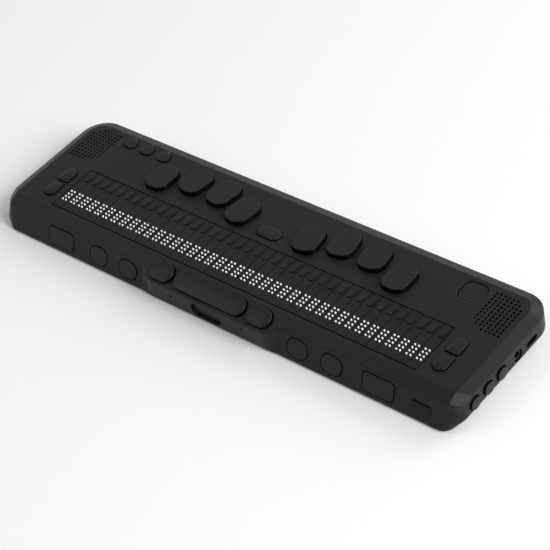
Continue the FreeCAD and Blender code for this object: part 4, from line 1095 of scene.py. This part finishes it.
def build_tactile_dots():
    """One, two and three raised dots on the function buttons."""
    for number in range(1, 4):
        spec = key_spec(f"function_button_{number}")
        dots = []
        for index in range(number):
            x = (index - (number - 1) / 2) * BUTTON_DOT_PITCH
            z = spec["rise"] - BUTTON_DOT_SINK
            place = spec["place"] @ Matrix.Translation((x, BUTTON_DOT_SHIFT, z))
            profile = dome_profile(BUTTON_DOT_RADIUS, BUTTON_DOT_RISE)
            dots.append(loft("dot", lathe_loops(place, profile, 16)))
        # The dots take the black finish, which paints the shadows they cast
        keep(join(f"function_dots_{number}", dots), ["black_and_painted_shade"], "plain_key", spec["node"])


SLOT_OF = {part["node"]: part["material_slot"] for part in frame["record"]["subparts"]}
NODE_FINISH = {"module": "module", "board": "board", "switch": "metal", "battery": "battery",
               "speaker": "speaker", "metal": "metal", "rubber": "rubber", "window": "window"}
NODE_ROUND = {"rubber_feet": 0.5, "indicator_windows": 0.06}


def build_keys():
    """A cap for each key, in place of its node."""
    for spec in KEYS:
        node = spec["node"]
        keep(key_cap(spec), ["key_top", "black_and_painted_shade"], SLOT_OF[node], node, node)


def finish_nodes():
    """Finishes for the inner parts and other pieces that stay as they were built."""
    for node, slot in SLOT_OF.items():
        if slot in NODE_FINISH:
            dress(frame["nodes"][node], NODE_FINISH[slot])
    for node, width in NODE_ROUND.items():
        add_round(frame["nodes"][node], width)


# Faces cut by the tools' first bands take the recess finish: painted shade inside openings, holes and
# slots
keep(build_cover(), ["case", "recess"], "case", "housing", "top_cover")
keep(build_case(), ["case", "recess"], "case", "housing", "bottom_case")
build_keys()
keep(build_caps(), ["cap", "recess"], "cap", "housing", "cell_caps")
keep(build_pins(), ["dot"], "dot", "dots", "braille_pins")
build_routing_keys()
keep(build_jack(), ["jack", "recess"], "jack", "housing", "audio_jack")
keep(build_port(), ["metal", "jack"], "metal", "housing", "usb_c_port")
keep(build_power_light(), ["light"], "plain_key", "power_button")
build_tactile_dots()
finish_nodes()


# Stage


FLOOR_HALF = 2500.0
FLOOR_COLOUR = (0.88, 0.88, 0.88, 1)
WALL_WAY = (-0.56, 0.83, 0)

# Place in metres and watts
LAMPS = {"key_lamp": ((2.3, 0.12, 1.4), 80), "rear_lamp": ((0.9, 2.15, 1.25), 31),
         "fill_lamp": ((-1.5, -1.15, 1.6), 12)}
LAMP_SIDE = 1.6

# The camera, in millimetres
CAMERA_PLACE = (565.949, -484.555, 668.975)
CAMERA_AHEAD = (-0.5593, 0.4877, -0.6703)
CAMERA_RIGHT = (0.7578, 0.6286, -0.1749)
CAMERA_LENS = 121.42
CAMERA_SENSOR = 36.0


def build_floor():
    """A pale ground under the object."""
    half = FLOOR_HALF
    corners = [(-half, -half, 0), (half, -half, 0), (half, half, 0), (-half, half, 0)]
    floor = make_mesh("floor", corners, [(0, 1, 2, 3)])
    material = bpy.data.materials.new("floor_pale")
    material.use_nodes = True
    nodes = material.node_tree.nodes
    set_inputs(nodes["Principled BSDF"], {"Base Color": FLOOR_COLOUR, "Roughness": 0.8,
                                          "Specular IOR Level": 0.2})
    floor.data.materials.append(material)


def build_world():
    """A dim studio with a pale wall behind the object, to its left."""
    world = bpy.data.worlds.new("studio")
    bpy.context.scene.world = world
    world.use_nodes = True
    nodes = world.node_tree.nodes
    links = world.node_tree.links
    background = nodes["Background"]
    place = nodes.new("ShaderNodeTexCoord")
    toward = nodes.new("ShaderNodeVectorMath")
    toward.operation = "DOT_PRODUCT"
    toward.inputs[1].default_value = WALL_WAY
    links.new(place.outputs["Generated"], toward.inputs[0])
    strength = nodes.new("ShaderNodeMapRange")
    strength.interpolation_type = "SMOOTHSTEP"
    set_inputs(strength, {"From Min": 0.25, "From Max": 0.85, "To Min": 0.18, "To Max": 0.68})
    links.new(toward.outputs["Value"], strength.inputs["Value"])
    links.new(strength.outputs["Result"], background.inputs["Strength"])
    background.inputs["Color"].default_value = (1, 1, 1, 1)


def add_lamp(name, place, power):
    """A square lamp that points at the middle of the object."""
    light = bpy.data.lights.new(name, "AREA")
    light.shape = "SQUARE"
    light.size = LAMP_SIDE
    light.energy = power
    lamp = bpy.data.objects.new(name, light)
    lamp.location = place
    lamp.rotation_mode = "QUATERNION"
    lamp.rotation_quaternion = (-Vector(place)).to_track_quat("-Z", "Y")
    bpy.context.scene.collection.objects.link(lamp)


def build_camera():
    """The photograph's view, worked out from the spacing of the braille dots."""
    camera = bpy.data.objects.new("camera", bpy.data.cameras.new("camera"))
    camera.data.sensor_width = CAMERA_SENSOR
    camera.data.lens = CAMERA_LENS
    camera.data.clip_start = 0.01
    camera.data.clip_end = 20
    ahead = Vector(CAMERA_AHEAD).normalized()
    right = Vector(CAMERA_RIGHT)
    right = (right - ahead * right.dot(ahead)).normalized()
    up = right.cross(ahead)
    matrix = Matrix((right, up, -ahead)).transposed().to_4x4()
    matrix.translation = Vector(CAMERA_PLACE) * MM
    camera.matrix_world = matrix
    bpy.context.scene.collection.objects.link(camera)
    bpy.context.scene.camera = camera


build_floor()
build_world()
build_camera()
for lamp_name, (lamp_place, lamp_power) in LAMPS.items():
    add_lamp(lamp_name, lamp_place, lamp_power)
bpy.context.scene.view_settings.view_transform = "Standard"
